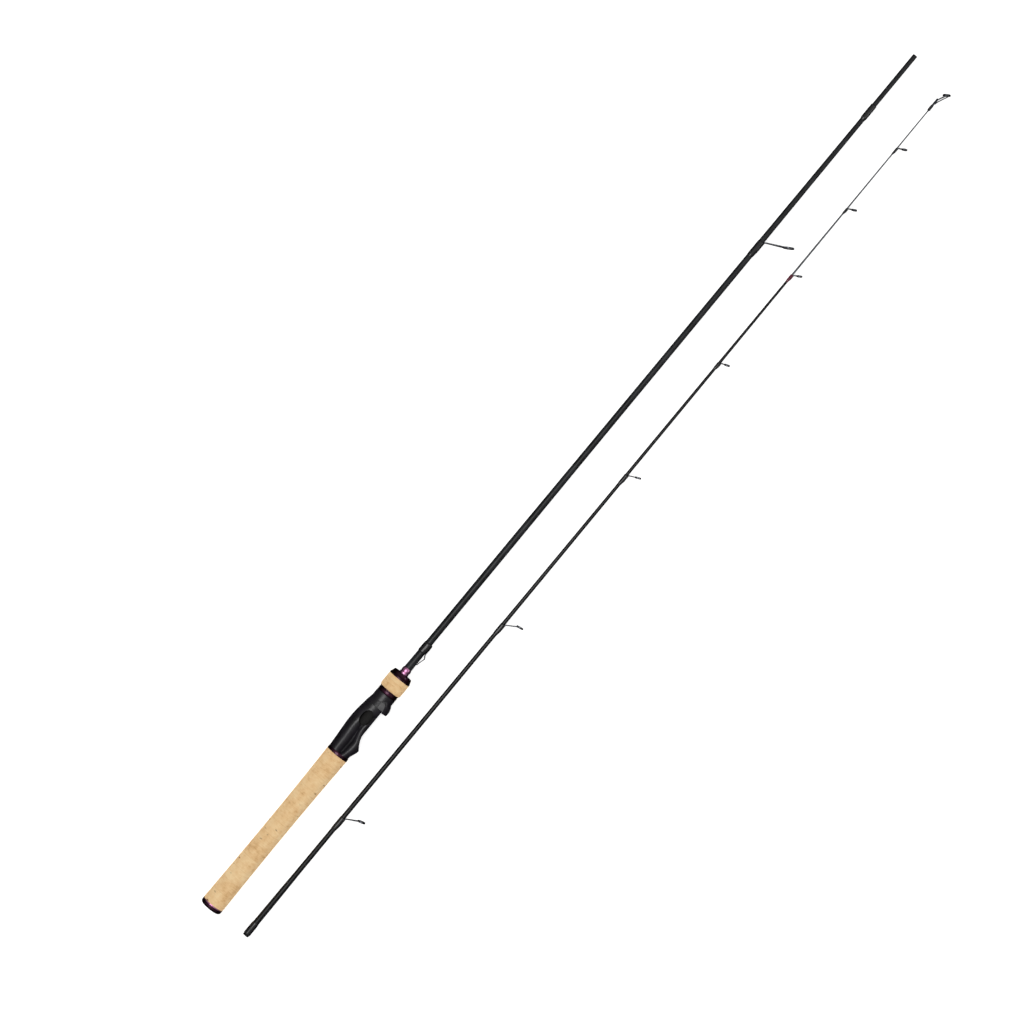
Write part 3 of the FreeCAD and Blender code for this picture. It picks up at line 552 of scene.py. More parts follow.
def turn(axis: Axis, rings: list[Ring], sides: int, end: End) -> bpy.types.Object:
    """Draw a piece out of a circle, one cross-section after another, and close it.

    Args:
        axis: The section the piece is centred on.
        rings: The cross-sections in order. They may turn back, to form an inner wall.
        sides: How many corners each cross-section has.
        end: How the shell is closed.

    Returns:
        The new object, with its place in its mesh.
    """
    deselect()
    first = rings[0]
    centre = axis.at(first.station, first.shift)
    bpy.ops.mesh.primitive_circle_add(vertices=sides, radius=first.radius * MM, location=centre,
                                      rotation=(0.0, HALF_TURN / 2, 0.0))
    piece = bpy.context.object
    bpy.ops.object.transform_apply()
    bpy.context.tool_settings.mesh_select_mode = (False, True, False)
    bpy.ops.object.mode_set(mode="EDIT")
    bpy.ops.mesh.select_all(action="SELECT")
    width = first.half_width or first.radius
    bpy.ops.transform.resize(value=(1.0, 1.0, width / first.radius), center_override=centre)
    depth = first.radius
    for ring in rings[1:]:
        there = axis.at(ring.station, ring.shift)
        bpy.ops.mesh.extrude_region_move(TRANSFORM_OT_translate={"value": there - centre})
        new_width = ring.half_width or ring.radius
        bpy.ops.transform.resize(value=(1.0, ring.radius / depth, new_width / width), center_override=there)
        centre, depth, width = there, ring.radius, new_width
    bpy.ops.mesh.select_all(action="DESELECT")
    bpy.ops.mesh.select_non_manifold(extend=False, use_wire=False, use_multi_face=False,
                                     use_non_contiguous=False, use_verts=False)
    if end is End.JOINED:
        bpy.ops.mesh.bridge_edge_loops()
    else:
        bpy.ops.mesh.fill_holes(sides=0)
    bpy.ops.mesh.select_all(action="SELECT")
    bpy.ops.mesh.normals_make_consistent(inside=False)
    bpy.ops.object.mode_set(mode="OBJECT")
    return piece


def soften(piece: bpy.types.Object, width: float, segments: int = 2, angle: float = 35.0) -> None:
    """Round a piece's sharp edges with a bevel, and apply it.

    Args:
        piece: The object.
        width: The bevel's width in millimetres.
        segments: How many faces go round the edge.
        angle: Edges sharper than this, in degrees, are rounded.
    """
    bpy.context.view_layer.objects.active = piece
    bevel = piece.modifiers.new("edges", "BEVEL")
    bevel.width = width * MM
    bevel.segments = segments
    bevel.limit_method = "ANGLE"
    bevel.angle_limit = math.radians(angle)
    bpy.ops.object.modifier_apply(modifier=bevel.name)


def bend_wire(points: list[Vector], thickness: list[float], smooth: int = 6) -> bpy.types.Object:
    """Bend a round wire along points and make it a mesh.

    Args:
        points: The wire's route, in the frame.
        thickness: The wire's radius at each point, in millimetres.
        smooth: How many pieces each stretch is made of.

    Returns:
        The wire's object.
    """
    deselect()
    bpy.ops.curve.primitive_nurbs_path_add(location=(0, 0, 0))
    wire = bpy.context.object
    curve = wire.data
    curve.splines.clear()
    spline = curve.splines.new("NURBS")
    spline.points.add(len(points) - 1)
    for knot, point, radius in zip(spline.points, points, thickness):
        knot.co = (*point, 1.0)
        knot.radius = radius
    spline.order_u = 3
    spline.use_endpoint_u = True
    spline.resolution_u = smooth
    curve.bevel_depth = MM
    curve.bevel_resolution = 3
    curve.use_fill_caps = True
    bpy.ops.object.convert(target="MESH")
    return bpy.context.object


def join(pieces: list[bpy.types.Object]) -> bpy.types.Object:
    """Join several meshes into the first and return it."""
    deselect()
    for piece in pieces:
        piece.select_set(True)
    bpy.context.view_layer.objects.active = pieces[0]
    bpy.ops.object.join()
    return pieces[0]


def ease(share: float) -> float:
    """Return a smooth step from 0 to 1."""
    share = min(max(share, 0.0), 1.0)
    return share * share * (3 - 2 * share)


@dataclass
class Bench:
    """Dresses finished pieces and hands them to the frame."""

    finishes: dict[Slot, bpy.types.Material]

    def hand_over(self, piece: bpy.types.Object, node: str, body: str, slot: Slot,
                  sharp: float = 40.0) -> bpy.types.Object:
        """Name, smooth and dress a new piece that stands for one CAD node.

        Args:
            piece: The new mesh object.
            node: The CAD node that it stands for.
            body: The body that it rides on.
            slot: The finish it takes.
            sharp: Edges sharper than this, in degrees, stay sharp.

        Returns:
            The same object.
        """
        deselect()
        piece.select_set(True)
        bpy.context.view_layer.objects.active = piece
        bpy.ops.object.shade_smooth_by_angle(angle=math.radians(sharp))
        piece.name = f"{node}_look"
        piece.data.name = piece.name
        piece.data.materials.clear()
        piece.data.materials.append(self.finishes[slot])
        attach(piece, body)
        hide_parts(node)
        LOG.info("%s: %d faces", piece.name, len(piece.data.polygons))
        return piece

    def turn_ring(self, axis: Axis, rings: list[Ring], node: str, slot: Slot, sides: int = 96,
                  eased: float = 0.12) -> None:
        """Turn one metal ring, ease its edges and hand it over.

        Args:
            axis: The axis that it is centred on, with the body that it rides on.
            rings: Its cross-sections.
            node: The CAD node that it stands for.
            slot: Its finish.
            sides: How many corners each cross-section has.
            eased: How wide its edges are rounded, in millimetres.
        """
        ring = turn(axis, rings, sides, End.JOINED)
        soften(ring, eased)
        self.hand_over(ring, node, axis.body, slot)

    def dress(self, node: str, slot: Slot) -> None:
        """Give a CAD node that stays its material.

        Args:
            node: The CAD node.
            slot: The finish it takes.
        """
        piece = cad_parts[node]
        piece.data.materials.clear()
        piece.data.materials.append(self.finishes[slot])
        LOG.info("%s: kept, %s", node, self.finishes[slot].name)


# ------------------------------------------------------------------ butt section


@dataclass
class RearEnd:
    """The butt cap, its trim ring, the rear cork grip and the ring before the seat."""

    axis: Axis
    bench: Bench
    cap_corner: float = 2.4
    corner_steps: int = 8
    dish_inset: float = 1.4
    dish_depth: float = 0.35
    dish_slope: float = 0.5
    broken_edge: float = 0.12
    eased: float = 0.14
    waist_share: float = 0.51
    waist_d: float = 18.7
    grip_steps: int = 110
    sanded_depth: float = 0.2
    sanded_width: float = 0.5
    end_drop: float = 0.25
    bore_d: float = 7.4
    sides: int = 96

    def build(self) -> None:
        """Build the four pieces."""
        self.build_cap()
        self.build_grip()
        for node, slot in (("butt_trim_ring", Slot.BRIGHT_ANODISED), ("seat_rear_ring", Slot.DARK_ANODISED)):
            self.build_ring(node, slot)

    def build_cap(self) -> None:
        """Turn the cap, with its rounded rear corner and a shallow dish in its face."""
        radius = Outline("butt_cap", self.axis).radius(self.cap_corner)
        front = self.axis.span("butt_trim_ring")[0]
        dish = radius - self.cap_corner - self.dish_inset
        rings = [Ring(self.dish_depth, dish * 0.4), Ring(self.dish_depth - 0.03, dish * 0.8),
                 Ring(0.0, dish + self.dish_slope)]
        for step in range(1, self.corner_steps + 1):
            angle = HALF_TURN / 2 * step / self.corner_steps
            rings.append(Ring(self.cap_corner * (1 - math.cos(angle)),
                              radius - self.cap_corner * (1 - math.sin(angle))))
        rings += [Ring(front - self.broken_edge, radius), Ring(front, radius - self.broken_edge)]
        cap = turn(self.axis, rings, self.sides, End.CAPPED)
        self.bench.hand_over(cap, "butt_cap", self.axis.body, Slot.DARK_ANODISED)

    def build_grip(self) -> None:
        """Turn the long cork grip, a little waisted, with its corners broken by sandpaper."""
        start, stop = self.axis.span("rear_grip")
        outline = Outline("rear_grip", self.axis)
        rear, front = outline.radius(start), outline.radius(stop)
        waist = self.waist_d / 2
        rings = [Ring(start, self.bore_d / 2), Ring(start, rear - self.end_drop)]
        for step in range(self.grip_steps + 1):
            share = step / self.grip_steps
            side = rear if share < self.waist_share else front
            width = self.waist_share if share < self.waist_share else 1 - self.waist_share
            bow = ((share - self.waist_share) / width) ** 2
            edge = min(share, 1 - share) * (stop - start)
            broken = self.sanded_depth * max(0.0, 1 - edge / self.sanded_width) ** 2
            station = min(max(start + share * (stop - start), start + 0.02), stop - 0.02)
            rings.append(Ring(station, waist + (side - waist) * bow - broken))
        rings += [Ring(stop, front - self.end_drop), Ring(stop, self.bore_d / 2)]
        grip = turn(self.axis, rings, self.sides, End.JOINED)
        self.bench.hand_over(grip, "rear_grip", self.axis.body, Slot.CORK, 60.0)

    def build_ring(self, node: str, slot: Slot) -> None:
        """Turn a plain metal ring with eased edges.

        Args:
            node: The CAD node that the ring stands for.
            slot: Its finish.
        """
        start, stop = self.axis.span(node)
        outline = Outline(node, self.axis)
        bore = self.bore_d / 2
        rings = [Ring(start, bore), Ring(start, outline.radius(start)), Ring(stop, outline.radius(stop)),
                 Ring(stop, bore)]
        self.bench.turn_ring(self.axis, rings, node, slot, eased=self.eased)


@dataclass
class ButtBlank:
    """The tapered tube of the butt section, with its ground male end and that end's wrap."""

    axis: Axis
    bench: Bench
    bore_d: float = 2.6
    bore_depth: float = 30.0
    rear_chamfer: float = 0.6
    front_chamfer: float = 0.2
    sides: int = 64

    def build(self) -> Outline:
        """Build the blank and its ferrule wrap, and return the blank's outline."""
        outline = Outline("butt_blank", self.axis)
        start, stop = self.axis.span("butt_blank")
        inner = Ring(stop - self.bore_depth, self.bore_d / 2)
        rings = [Ring(start, outline.radius(start) - self.rear_chamfer)]
        rings += [Ring(station, radius) for station, radius in outline.rings]
        rings[-1] = Ring(stop - self.front_chamfer, rings[-1].radius)
        rings += [Ring(stop, rings[-1].radius - self.front_chamfer), Ring(stop, self.bore_d / 2), inner]
        blank = turn(self.axis, rings, self.sides, End.CAPPED)
        self.bench.hand_over(blank, "butt_blank", self.axis.body, Slot.BUTT_BLANK)
        Winding("male_ferrule_wrap", self.axis, self.bench, outline, crown=0.5).build()
        return outline


@dataclass
class Winding:
    """A thread winding under epoxy, which may cover a guide's foot on the reel side."""

    node: str
    axis: Axis
    bench: Bench
    blank: Outline
    crown: float = 0.25
    foot: float = 0.0
    slot: Slot = Slot.BLACK_WRAP
    sides: int = 48
    steps: int = 28
    rear_slope: float = 2.4
    front_slope: float = 0.7
    foot_inset: float = 1.0
    foot_ramp: float = 0.45
    thinnest: float = 0.01
    bed: float = 0.15

    def build(self) -> None:
        """Build the winding: epoxy runs out thin at its rear and ends in a round bead in front."""
        start, stop = self.axis.span(self.node)
        rings = []
        for step in range(self.steps + 1):
            station = start + (stop - start) * step / self.steps
            rise = ease((station - start) / self.rear_slope)
            fall = math.sqrt(max(0.0, 1 - max(0.0, 1 - (stop - station) / self.front_slope) ** 2))
            depth = self.crown * rise * fall
            covered = (station - start - self.foot_inset) / (self.foot_ramp * (stop - start))
            lump = self.foot * ease(covered) * fall
            radius = self.blank.radius(station) + max(depth, self.thinnest)
            rings.append(Ring(station, radius + lump / 2, radius + lump * 0.15, lump / 2))
        inner = [Ring(station, self.blank.radius(station) - self.bed) for station in (stop, start)]
        winding = turn(self.axis, rings + inner, self.sides, End.JOINED)
        self.bench.hand_over(winding, self.node, self.axis.body, self.slot, 50.0)


@dataclass
class ReelSeat:
    """The moulded seat on its arbors, and the bright winding check in front of it.

    The check's groove is listed as stations from its rear face, each with the depth there.
    """

    axis: Axis
    bench: Bench
    groove: tuple = ((2.6, 0.0), (2.9, 0.35), (3.4, 0.35), (3.7, 0.02))
    nose: float = 1.2
    nose_drop: float = 0.6
    sides: int = 64

    def build(self) -> None:
        """Dress the seat and its arbors, and turn the winding check."""
        self.bench.dress("reel_seat", Slot.SEAT_PLASTIC)
        for node in ("seat_rear_arbor", "seat_front_arbor"):
            self.bench.dress(node, Slot.ARBOR)
        self.build_check()

    def build_check(self) -> None:
        """Turn the winding check: a collar with a groove and a rolled front lip."""
        start, stop = self.axis.span("winding_check")
        outline = Outline("winding_check", self.axis)
        radius = outline.radius(start + 1)
        bore = Outline("butt_blank", self.axis).radius(stop)
        rings = [Ring(start, bore), Ring(start, radius)]
        rings += [Ring(start + station, radius - depth) for station, depth in self.groove]
        rings += [Ring(stop - self.nose, rings[-1].radius), Ring(stop, radius - self.nose_drop),
                  Ring(stop, bore)]
        self.bench.turn_ring(self.axis, rings, "winding_check", Slot.BRIGHT_ANODISED, self.sides)


@dataclass
class HookKeeper:
    """The bent wire that a hook hangs in, and the winding that holds its foot."""

    axis: Axis
    bench: Bench
    blank: Outline
    rear: float = 268.0
    apex: float = 276.0
    apex_reach: float = 5.8
    root: float = 278.2
    thin: float = 0.36
    thick: float = 0.5

    def build(self) -> None:
        """Bend the wire and wind its foot down."""
        low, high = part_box("hook_keeper")
        foot_end = self.axis.station(high.x) - self.thick
        surface = self.blank.radius(self.root) + self.thick
        touch = self.blank.radius(self.rear) + self.thin
        route = [(foot_end, surface), (foot_end - 4, surface), (self.root + 0.6, surface),
                 (self.apex + 0.9, self.apex_reach - 0.5), (self.apex, self.apex_reach),
                 (self.apex - 1.4, self.apex_reach - 0.45), (self.rear + 2.4, touch + 0.35),
                 (self.rear + 0.6, touch), (self.rear, touch)]
        thickness = [self.thick] * 4 + [self.thick * 0.9] + [self.thin] * 4
        wire = bend_wire([self.axis.at(*knot) for knot in route], thickness)
        self.bench.hand_over(wire, "hook_keeper", self.axis.body, Slot.KEEPER_STEEL)
        Winding("keeper_wrap", self.axis, self.bench, self.blank, crown=0.45, foot=0.75,
                front_slope=2.2, rear_slope=1.0).build()


# ------------------------------------------------------------------ lock nut and sliding hood


@dataclass
class LockNut:
    """The nut that drives the hood: its sleeve, two purple rings and the cork foregrip.

    The rear ring's groove is listed as distances from its front face, each with the depth there.
    """

    axis: Axis
    bench: Bench
    bore_d: float = 17.2
    nose_flat: float = 1.2
    nose_rim: float = 0.9
    nose_d: float = 17.2
    front_bore_d: float = 16.4
    lip_depth: float = 2.2
    rear_round: float = 0.6
    groove: tuple = ((1.5, 0.0), (1.3, 0.3), (0.9, 0.3), (0.7, 0.0))
    rear_drop: float = 0.3
    step: float = 0.35
    cork_round: float = 2.1
    cork_drop: float = 0.9
    cork_steps: int = 24
    sanded_depth: float = 0.15
    sanded_width: float = 0.6
    sides: int = 96

    def build(self) -> None:
        """Build the three turned pieces round the sleeve."""
        self.bench.dress("nut_sleeve", Slot.ARBOR)
        self.build_cork()
        start, stop = self.axis.span("nut_rear_ring")
        radius = Outline("nut_rear_ring", self.axis).radius(start)
        bore = self.bore_d / 2
        rear = [Ring(start, bore), Ring(start, radius - self.rear_drop),
                Ring(start + self.rear_round, radius)]
        rear += [Ring(stop - distance, radius - depth) for distance, depth in self.groove]
        rear += [Ring(stop, radius), Ring(stop, bore)]
        self.bench.turn_ring(self.axis, rear, "nut_rear_ring", Slot.DARK_ANODISED)
        start, stop = self.axis.span("foregrip_front_ring")
        radius = Outline("foregrip_front_ring", self.axis).radius(start)
        front = [Ring(start, bore), Ring(start, radius), Ring(start + self.nose_flat, radius),
                 Ring(start + self.nose_flat + 0.3, radius - self.step),
                 Ring(stop - self.nose_rim, self.nose_d / 2 + self.step), Ring(stop, self.nose_d / 2),
                 Ring(stop, self.front_bore_d / 2), Ring(stop - self.lip_depth, self.front_bore_d / 2)]
        self.bench.turn_ring(self.axis, front, "foregrip_front_ring", Slot.DARK_ANODISED)

    def build_cork(self) -> None:
        """Turn the foregrip, which is one cork ring with a rounded rear edge."""
        start, stop = self.axis.span("foregrip_cork")
        radius = Outline("foregrip_cork", self.axis).radius(stop)
        rings = [Ring(start, self.bore_d / 2)]
        for step in range(self.cork_steps + 1):
            station = start + (stop - start) * step / self.cork_steps
            rear = max(0.0, 1 - (station - start) / self.cork_round)
            front = max(0.0, 1 - (stop - station) / self.sanded_width)
            rings.append(Ring(station, radius - self.cork_drop * rear ** 2 - self.sanded_depth * front ** 2))
        rings.append(Ring(stop, self.bore_d / 2))
        cork = turn(self.axis, rings, self.sides, End.JOINED)
        self.bench.hand_over(cork, "foregrip_cork", self.axis.body, Slot.CORK, 60.0)


# ------------------------------------------------------------------ line guides


@dataclass
class LineGuide:
    """One single-foot guide: a steel frame with two legs, its ceramic ring and its winding.

    The foot's taper is the share of its thickness and of its width that is left at its rear end. The
    bends are the shares of a leg's length that its route goes through.
    """

    name: str
    axis: Axis
    bench: Bench
    blank: Outline
    slot: Slot = Slot.BLACK_WRAP
    ceramic_width: float = 1.7
    ceramic_wall: float = 0.85
    hoop_wall: float = 0.35
    hoop_width: float = 1.4
    foot_thickness: float = 0.5
    wrap_clearance: float = 0.1
    foot_inset: float = 1.5
    foot_width: float = 3.2
    foot_taper: tuple = (0.3, 0.5)
    leg_angle: float = 62.0
    heel: float = 2.2
    bends: tuple = (0.25, 0.7)
    thin_wire_d: float = 0.9
    thin_wire_ring: float = 7.0
    wire_growth: float = 0.107
    edge_round: float = 0.12
    bore_steps: int = 10
    sides: int = 64

    def __post_init__(self) -> None:
        """Read the foot's place from the frame, and work out the wire's radius and the legs' place."""
        self.read_hoop()
        larger = max(0.0, 2 * (self.outer + self.hoop_wall) - self.thin_wire_ring)
        self.wire = (self.thin_wire_d + self.wire_growth * larger) / 2
        self.foot_start, wrap_end = self.axis.span(f"{self.name}_wrap")
        self.junction = wrap_end + self.wire + self.wrap_clearance

    def read_hoop(self) -> None:
        """Read the hoop's centre, size and lean from the box of its ring."""
        low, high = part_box(f"{self.name}_ring")
        self.centre = (low + high) / 2
        size = (high - low) / MM
        self.outer = size.z / 2
        spread = (size.y - size.x) / (2 * self.outer - self.ceramic_width)
        self.lean = math.acos(spread / math.sqrt(2)) - HALF_TURN / 4

    def plane(self) -> Vector:
        """Return the direction from the hoop's centre to its top, away from the blank."""
        return Vector((math.sin(self.lean), -math.cos(self.lean), 0.0))

    def build(self) -> None:
        """Build the frame, the ring and the winding."""
        frame_piece = join([self.hoop(), self.foot(), *self.legs()])
        self.bench.hand_over(frame_piece, f"{self.name}_frame", self.axis.body, Slot.GUIDE_STEEL)
        self.bench.hand_over(self.ceramic(), f"{self.name}_ring", self.axis.body, Slot.RING_CERAMIC)
        Winding(f"{self.name}_wrap", self.axis, self.bench, self.blank, foot=self.foot_thickness,
                slot=self.slot).build()

    def lean_over(self, piece: bpy.types.Object) -> bpy.types.Object:
        """Lean a ring that was turned about the frame's X axis, and set it at the hoop's centre."""
        piece.rotation_euler = (0.0, 0.0, self.lean)
        piece.location = self.centre
        deselect()
        piece.select_set(True)
        bpy.context.view_layer.objects.active = piece
        bpy.ops.object.transform_apply()
        return piece

    def turned_ring(self, outer: float, wall: float, width: float, round_share: float) -> bpy.types.Object:
        """Turn a ring whose section is a rounded block.

        Args:
            outer: Its outside radius.
            wall: Its wall, outside to bore.
            width: Its width along its own axis.
            round_share: How round the bore side is, from 0, flat, to 1.

        Returns:
            The ring, leaning and in place.
        """
        spot = Axis(Vector((0.0, 0.0, 0.0)), self.axis.body)
        half = width / 2
        edge = outer - self.edge_round
        rings = [Ring(-half * 0.8, outer), Ring(half * 0.8, outer), Ring(half, edge)]
        for step in range(self.bore_steps + 1):
            angle = HALF_TURN * step / self.bore_steps
            depth = wall * (1 - round_share + round_share * math.sin(angle))
            rings.append(Ring(half * math.cos(angle), min(outer - depth, edge - 0.02)))
        rings.append(Ring(-half, edge))
        return self.lean_over(turn(spot, rings, self.sides, End.JOINED))

    def hoop(self) -> bpy.types.Object:
        """Return the steel hoop that holds the ceramic ring."""
        outer = self.outer + self.hoop_wall
        return self.turned_ring(outer, self.hoop_wall + 0.1, self.hoop_width, 0.3)

    def ceramic(self) -> bpy.types.Object:
        """Return the ceramic ring, round in its bore where the line runs."""
        return self.turned_ring(self.outer - 0.01, self.ceramic_wall, self.ceramic_width, 0.75)

    def foot(self) -> bpy.types.Object:
        """Return the flat foot under the winding: a bar that thins and narrows to its rear end."""
        surface = self.blank.radius(self.foot_start)
        start, stop = self.foot_start + self.foot_inset, self.junction + self.wire
        length = stop - start
        deselect()
        bpy.ops.mesh.primitive_cube_add(size=1.0, location=self.axis.at((start + stop) / 2,
                                                                       surface + self.foot_thickness / 2))
        bar = bpy.context.object
        bar.scale = Vector((length, self.foot_thickness, self.foot_width * self.wire)) * MM
        bpy.ops.object.transform_apply()
        bpy.ops.object.mode_set(mode="EDIT")
        bpy.ops.mesh.select_all(action="DESELECT")
        bpy.ops.object.mode_set(mode="OBJECT")
        rear = min(bar.data.polygons, key=lambda face: face.center.x)
        rear.select = True
        bpy.context.tool_settings.mesh_select_mode = (False, False, True)
        bpy.ops.object.mode_set(mode="EDIT")
        bpy.ops.transform.resize(value=(1.0, *self.foot_taper),
                                 center_override=self.axis.at(start, surface + 0.1))
        bpy.ops.object.mode_set(mode="OBJECT")
        soften(bar, self.edge_round, 3)
        return bar

    def legs(self) -> list[bpy.types.Object]:
        """Return the two legs, bent up out of the foot and spread to the sides of the hoop."""
        reach = self.blank.radius(self.foot_start) + self.foot_thickness - self.wire * 0.6
        grip = math.radians(self.leg_angle)
        radius = (self.outer + self.hoop_wall - 0.2) * MM
        legs = []
        for side in (-1, 1):
            head = self.centre - self.plane() * radius * math.cos(grip)
            head += Vector((0.0, 0.0, side * radius * math.sin(grip)))
            heel = self.axis.at(self.junction - self.heel, reach, side * self.wire * 0.5)
            root = self.axis.at(self.junction, reach + 0.1, side * self.wire * 0.9)
            leg = [root.lerp(head, share) for share in self.bends]
            route = [heel, heel.lerp(root, 0.6), root, *leg, head]
            legs.append(bend_wire(route, [self.wire] * 5 + [self.wire * 0.8]))
        return legs


# ------------------------------------------------------------------ tip section


@dataclass
class TipSection:
    """The tip section: the tube with its socket, the solid tip, its guides and the tip-top."""

    axis: Axis
    bench: Bench
    socket_d: float = 4.16
    socket_shown: float = 40.0
    mouth: float = 0.3
    end_chamfer: float = 0.2
    sides: int = 56
    solid_sides: int = 32
    guides: int = 7
    red_guide: int = 5

    def build(self) -> None:
        """Build the blanks, the windings, the guides and the tip-top."""
        tube, solid = Outline("tip_blank", self.axis), Outline("solid_tip", self.axis)
        self.build_tube(tube)
        self.build_solid(solid)
        Winding("female_ferrule_wrap", self.axis, self.bench, tube, crown=0.4, front_slope=4.0,
                rear_slope=0.5).build()
        tube_end = self.axis.span("tip_blank")[1]
        for number in range(1, self.guides + 1):
            name = f"guide_{number}"
            beyond = self.axis.span(f"{name}_wrap")[0] >= tube_end
            slot = Slot.RED_WRAP if number == self.red_guide else Slot.BLACK_WRAP
            LineGuide(name, self.axis, self.bench, solid if beyond else tube, slot).build()
        TipTop(self.axis, self.bench, solid).build()

    def build_tube(self, outline: Outline) -> None:
        """Draw the tapered tube, with the mouth of its socket."""
        start, stop = self.axis.span("tip_blank")
        bore = self.socket_d / 2
        rings = [Ring(start + self.socket_shown, bore), Ring(start + self.mouth, bore),
                 Ring(start, bore + self.mouth / 2), Ring(start, outline.radius(start) - self.end_chamfer)]
        rings += [Ring(max(station, start + 0.25), radius) for station, radius in outline.rings]
        rings[-1] = Ring(stop - self.mouth, rings[-1].radius)
        rings.append(Ring(stop, rings[-1].radius - self.end_chamfer))
        tube = turn(self.axis, rings, self.sides, End.CAPPED)
        self.bench.hand_over(tube, "tip_blank", self.axis.body, Slot.TIP_BLANK)

    def build_solid(self, outline: Outline) -> None:
        """Draw the solid tip, from its tail inside the tube to its end inside the tip-top."""
        rings = [Ring(station, radius) for station, radius in outline.rings]
        solid = turn(self.axis, rings, self.solid_sides, End.CAPPED)
        self.bench.hand_over(solid, "solid_tip", self.axis.body, Slot.SOLID_TIP)


@dataclass
class TipTop:
    """The tip-top: a tube glued on the tip, two side wires, a brace, a hoop, its ring and a winding.

    The tube is listed from its rear end as (station, radius) pairs.
    """

    axis: Axis
    bench: Bench
    blank: Outline
    tube: tuple = ((904.5, 0.7), (904.6, 0.95), (915.0, 0.95), (915.35, 0.76), (915.5, 0.4275))
    tube_radius: float = 0.95
    wire: float = 0.45
    sunk: float = 0.2
    sides: int = 32

    def build(self) -> None:
        """Build the frame, the ring and the winding."""
        ring = TopRing("tip_top", self.axis, self.bench, self.blank)
        barrel = turn(self.axis, [Ring(*section) for section in self.tube], self.sides, End.CAPPED)
        frame_piece = join([ring.hoop(), barrel, *self.side_wires(ring)])
        self.bench.hand_over(frame_piece, "tip_top_frame", self.axis.body, Slot.GUIDE_STEEL)
        self.bench.hand_over(ring.ceramic(), "tip_top_ring", self.axis.body, Slot.RING_CERAMIC)
        Winding("tip_top_wrap", self.axis, self.bench, self.blank, crown=0.7, rear_slope=1.6,
                front_slope=1.0, sides=self.sides).build()

    def side_wires(self, ring: "TopRing") -> list[bpy.types.Object]:
        """Return the two wires that carry the hoop, brazed along the tube, and the brace below them."""
        wires = []
        end = self.tube[-1][0]
        radius = (ring.outer - self.sunk) * MM
        for side in (-1, 1):
            out = side * (self.tube_radius + self.wire * 0.3)
            start, leave = self.axis.at(end - 4.0, 0.1, out), self.axis.at(end - 1.0, 0.3, out)
            head = ring.centre + Vector((0.0, 0.0, side * radius))
            wires.append(self.bend([start, start.lerp(leave, 0.6), leave, leave.lerp(head, 0.5), head]))
        root = self.axis.at(end - 5.0, self.tube_radius + 0.1)
        leave = self.axis.at(end - 3.2, self.tube_radius + 0.2)
        foot = ring.centre + ring.plane() * radius
        wires.append(self.bend([root, leave, leave.lerp(foot, 0.5), foot]))
        return wires

    def bend(self, route: list[Vector]) -> bpy.types.Object:
        """Return a wire along a route, with its last end drawn thinner."""
        return bend_wire(route, [self.wire] * (len(route) - 1) + [self.wire * 0.8])


@dataclass
class TopRing(LineGuide):
    """The tip-top's hoop and ring, which have no foot of their own."""

    def __post_init__(self) -> None:
        """Read the hoop's centre, size and lean, and set no foot."""
        self.read_hoop()


# ------------------------------------------------------------------ studio


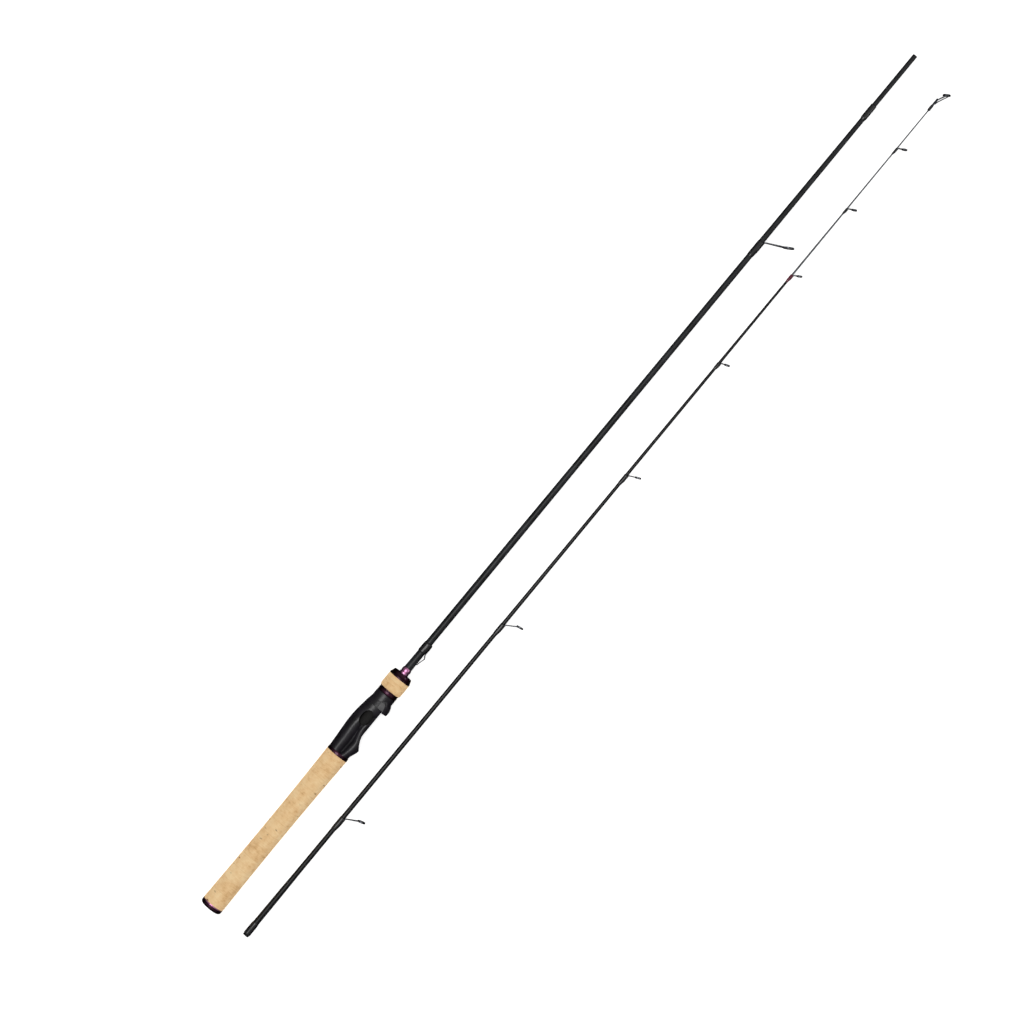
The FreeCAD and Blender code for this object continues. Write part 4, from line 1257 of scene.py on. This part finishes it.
@dataclass
class Studio:
    """A plain pale floor, soft light from above and the camera, in metres.

    Each lamp has its name, place, size and power. The dome is listed from below to overhead, as
    (height share, grey) pairs.
    """

    eye: Vector = Vector((-0.0467, 0.0385, 2.5))
    turn_deg: float = -50.388
    lens: float = 104.55
    sensor: float = 36.0
    floor_size: float = 40.0
    floor_drop: float = 0.0002
    floor_tones: tuple = ("#F2F2F2", "#F7F7F7")
    glow: float = 0.58
    lamps: tuple = (("overhead_softbox", (-0.25, 0.3, 1.9), 1.0, 17.0),
                    ("side_softbox", (0.9, -1.6, 1.3), 0.8, 6.0))
    dome: tuple = ((0.0, 0.02), (0.25, 0.18), (0.75, 0.42), (0.97, 0.75))

    def build(self) -> None:
        """Build the floor, the lights, the surroundings and the camera."""
        self.build_floor()
        self.build_lights()
        self.build_world()
        self.build_camera()

    def build_floor(self) -> None:
        """Lay a pale matt board, lit a little through from below as on a light table."""
        deselect()
        low = CAD_BOX[0]
        bpy.ops.mesh.primitive_plane_add(size=self.floor_size, location=(0.0, 0.0, low.z - self.floor_drop))
        floor = bpy.context.object
        floor.name = "floor"
        bpy.ops.object.transform_apply()
        material, shader, place, add = start_material(
            "pale_board", Roughness=0.9, Specular_IOR_Level=0.0, Emission_Color=linear("#FFFFFF"),
            Emission_Strength=self.glow)
        cloud = add("TexNoise", {"Vector": place, "Scale": 0.7})
        low_tone, high_tone = (linear(tone) for tone in self.floor_tones)
        tone = add("ValToRGB", {0: cloud}, stops=[(0.3, low_tone), (0.7, high_tone)])
        material.node_tree.links.new(tone.outputs["Color"], shader.inputs["Base Color"])
        floor.data.materials.append(material)
        floor.visible_glossy = False

    def build_lights(self) -> None:
        """Hang one wide softbox overhead and one smaller one to the side that the guides point to."""
        for name, place, size, power in self.lamps:
            deselect()
            bpy.ops.object.light_add(type="AREA", location=place)
            lamp = bpy.context.object
            lamp.name = name
            lamp.data.shape = "SQUARE"
            lamp.data.size = size
            lamp.data.energy = power
            lamp.rotation_euler = (-Vector(place)).to_track_quat("-Z", "Y").to_euler()

    def build_world(self) -> None:
        """Surround the scene with a white dome that is dim below the table."""
        world = bpy.data.worlds.new("studio")
        bpy.context.scene.world = world
        world.use_nodes = True
        tree = world.node_tree
        where = add_node(tree, "TexCoord")
        height = add_node(tree, "SeparateXYZ", {0: where.outputs["Generated"]})
        walls = add_node(tree, "ValToRGB", {0: height.outputs["Z"]}, stops=[
            (share, grey(level)) for share, level in self.dome])
        background = tree.nodes["Background"]
        tree.links.new(walls.outputs["Color"], background.inputs["Color"])
        background.inputs["Strength"].default_value = 1.0

    def build_camera(self) -> None:
        """Set the camera straight above the rod."""
        deselect()
        low, high = CAD_BOX
        middle = (low + high) / 2
        turned = (0.0, 0.0, math.radians(self.turn_deg))
        bpy.ops.object.camera_add(location=middle + self.eye, rotation=turned)
        camera = bpy.context.object
        camera.data.lens = self.lens
        camera.data.sensor_width = self.sensor
        bpy.context.scene.camera = camera
        bpy.context.scene.view_settings.view_transform = "Standard"


# ------------------------------------------------------------------ the whole rod


def section_axis(node: str, body: str) -> Axis:
    """Return the axis of the section that a round blank belongs to.

    Args:
        node: The blank's CAD node, or the piece at the section's rear end.
        body: The section's body.

    Returns:
        The axis, from the middle of the rear end.
    """
    low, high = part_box(node)
    return Axis(Vector((low.x, (low.y + high.y) / 2, (low.z + high.z) / 2)), body)


def main() -> None:
    """Build the rod in its order from the butt, then the studio."""
    logging.basicConfig(level=logging.INFO, format="%(message)s")
    bench = Bench(build_finishes())
    butt = section_axis("butt_cap", "butt_section")
    tip = section_axis("tip_blank", "tip_section")
    RearEnd(butt, bench).build()
    butt_outline = ButtBlank(butt, bench).build()
    ReelSeat(butt, bench).build()
    bench.dress("sliding_hood", Slot.SEAT_PLASTIC)
    LockNut(Axis(butt.rear, "lock_nut"), bench).build()
    HookKeeper(butt, bench, butt_outline).build()
    LineGuide("stripper", butt, bench, butt_outline).build()
    TipSection(tip, bench).build()
    Studio().build()


if __name__ == "__main__":
    main()
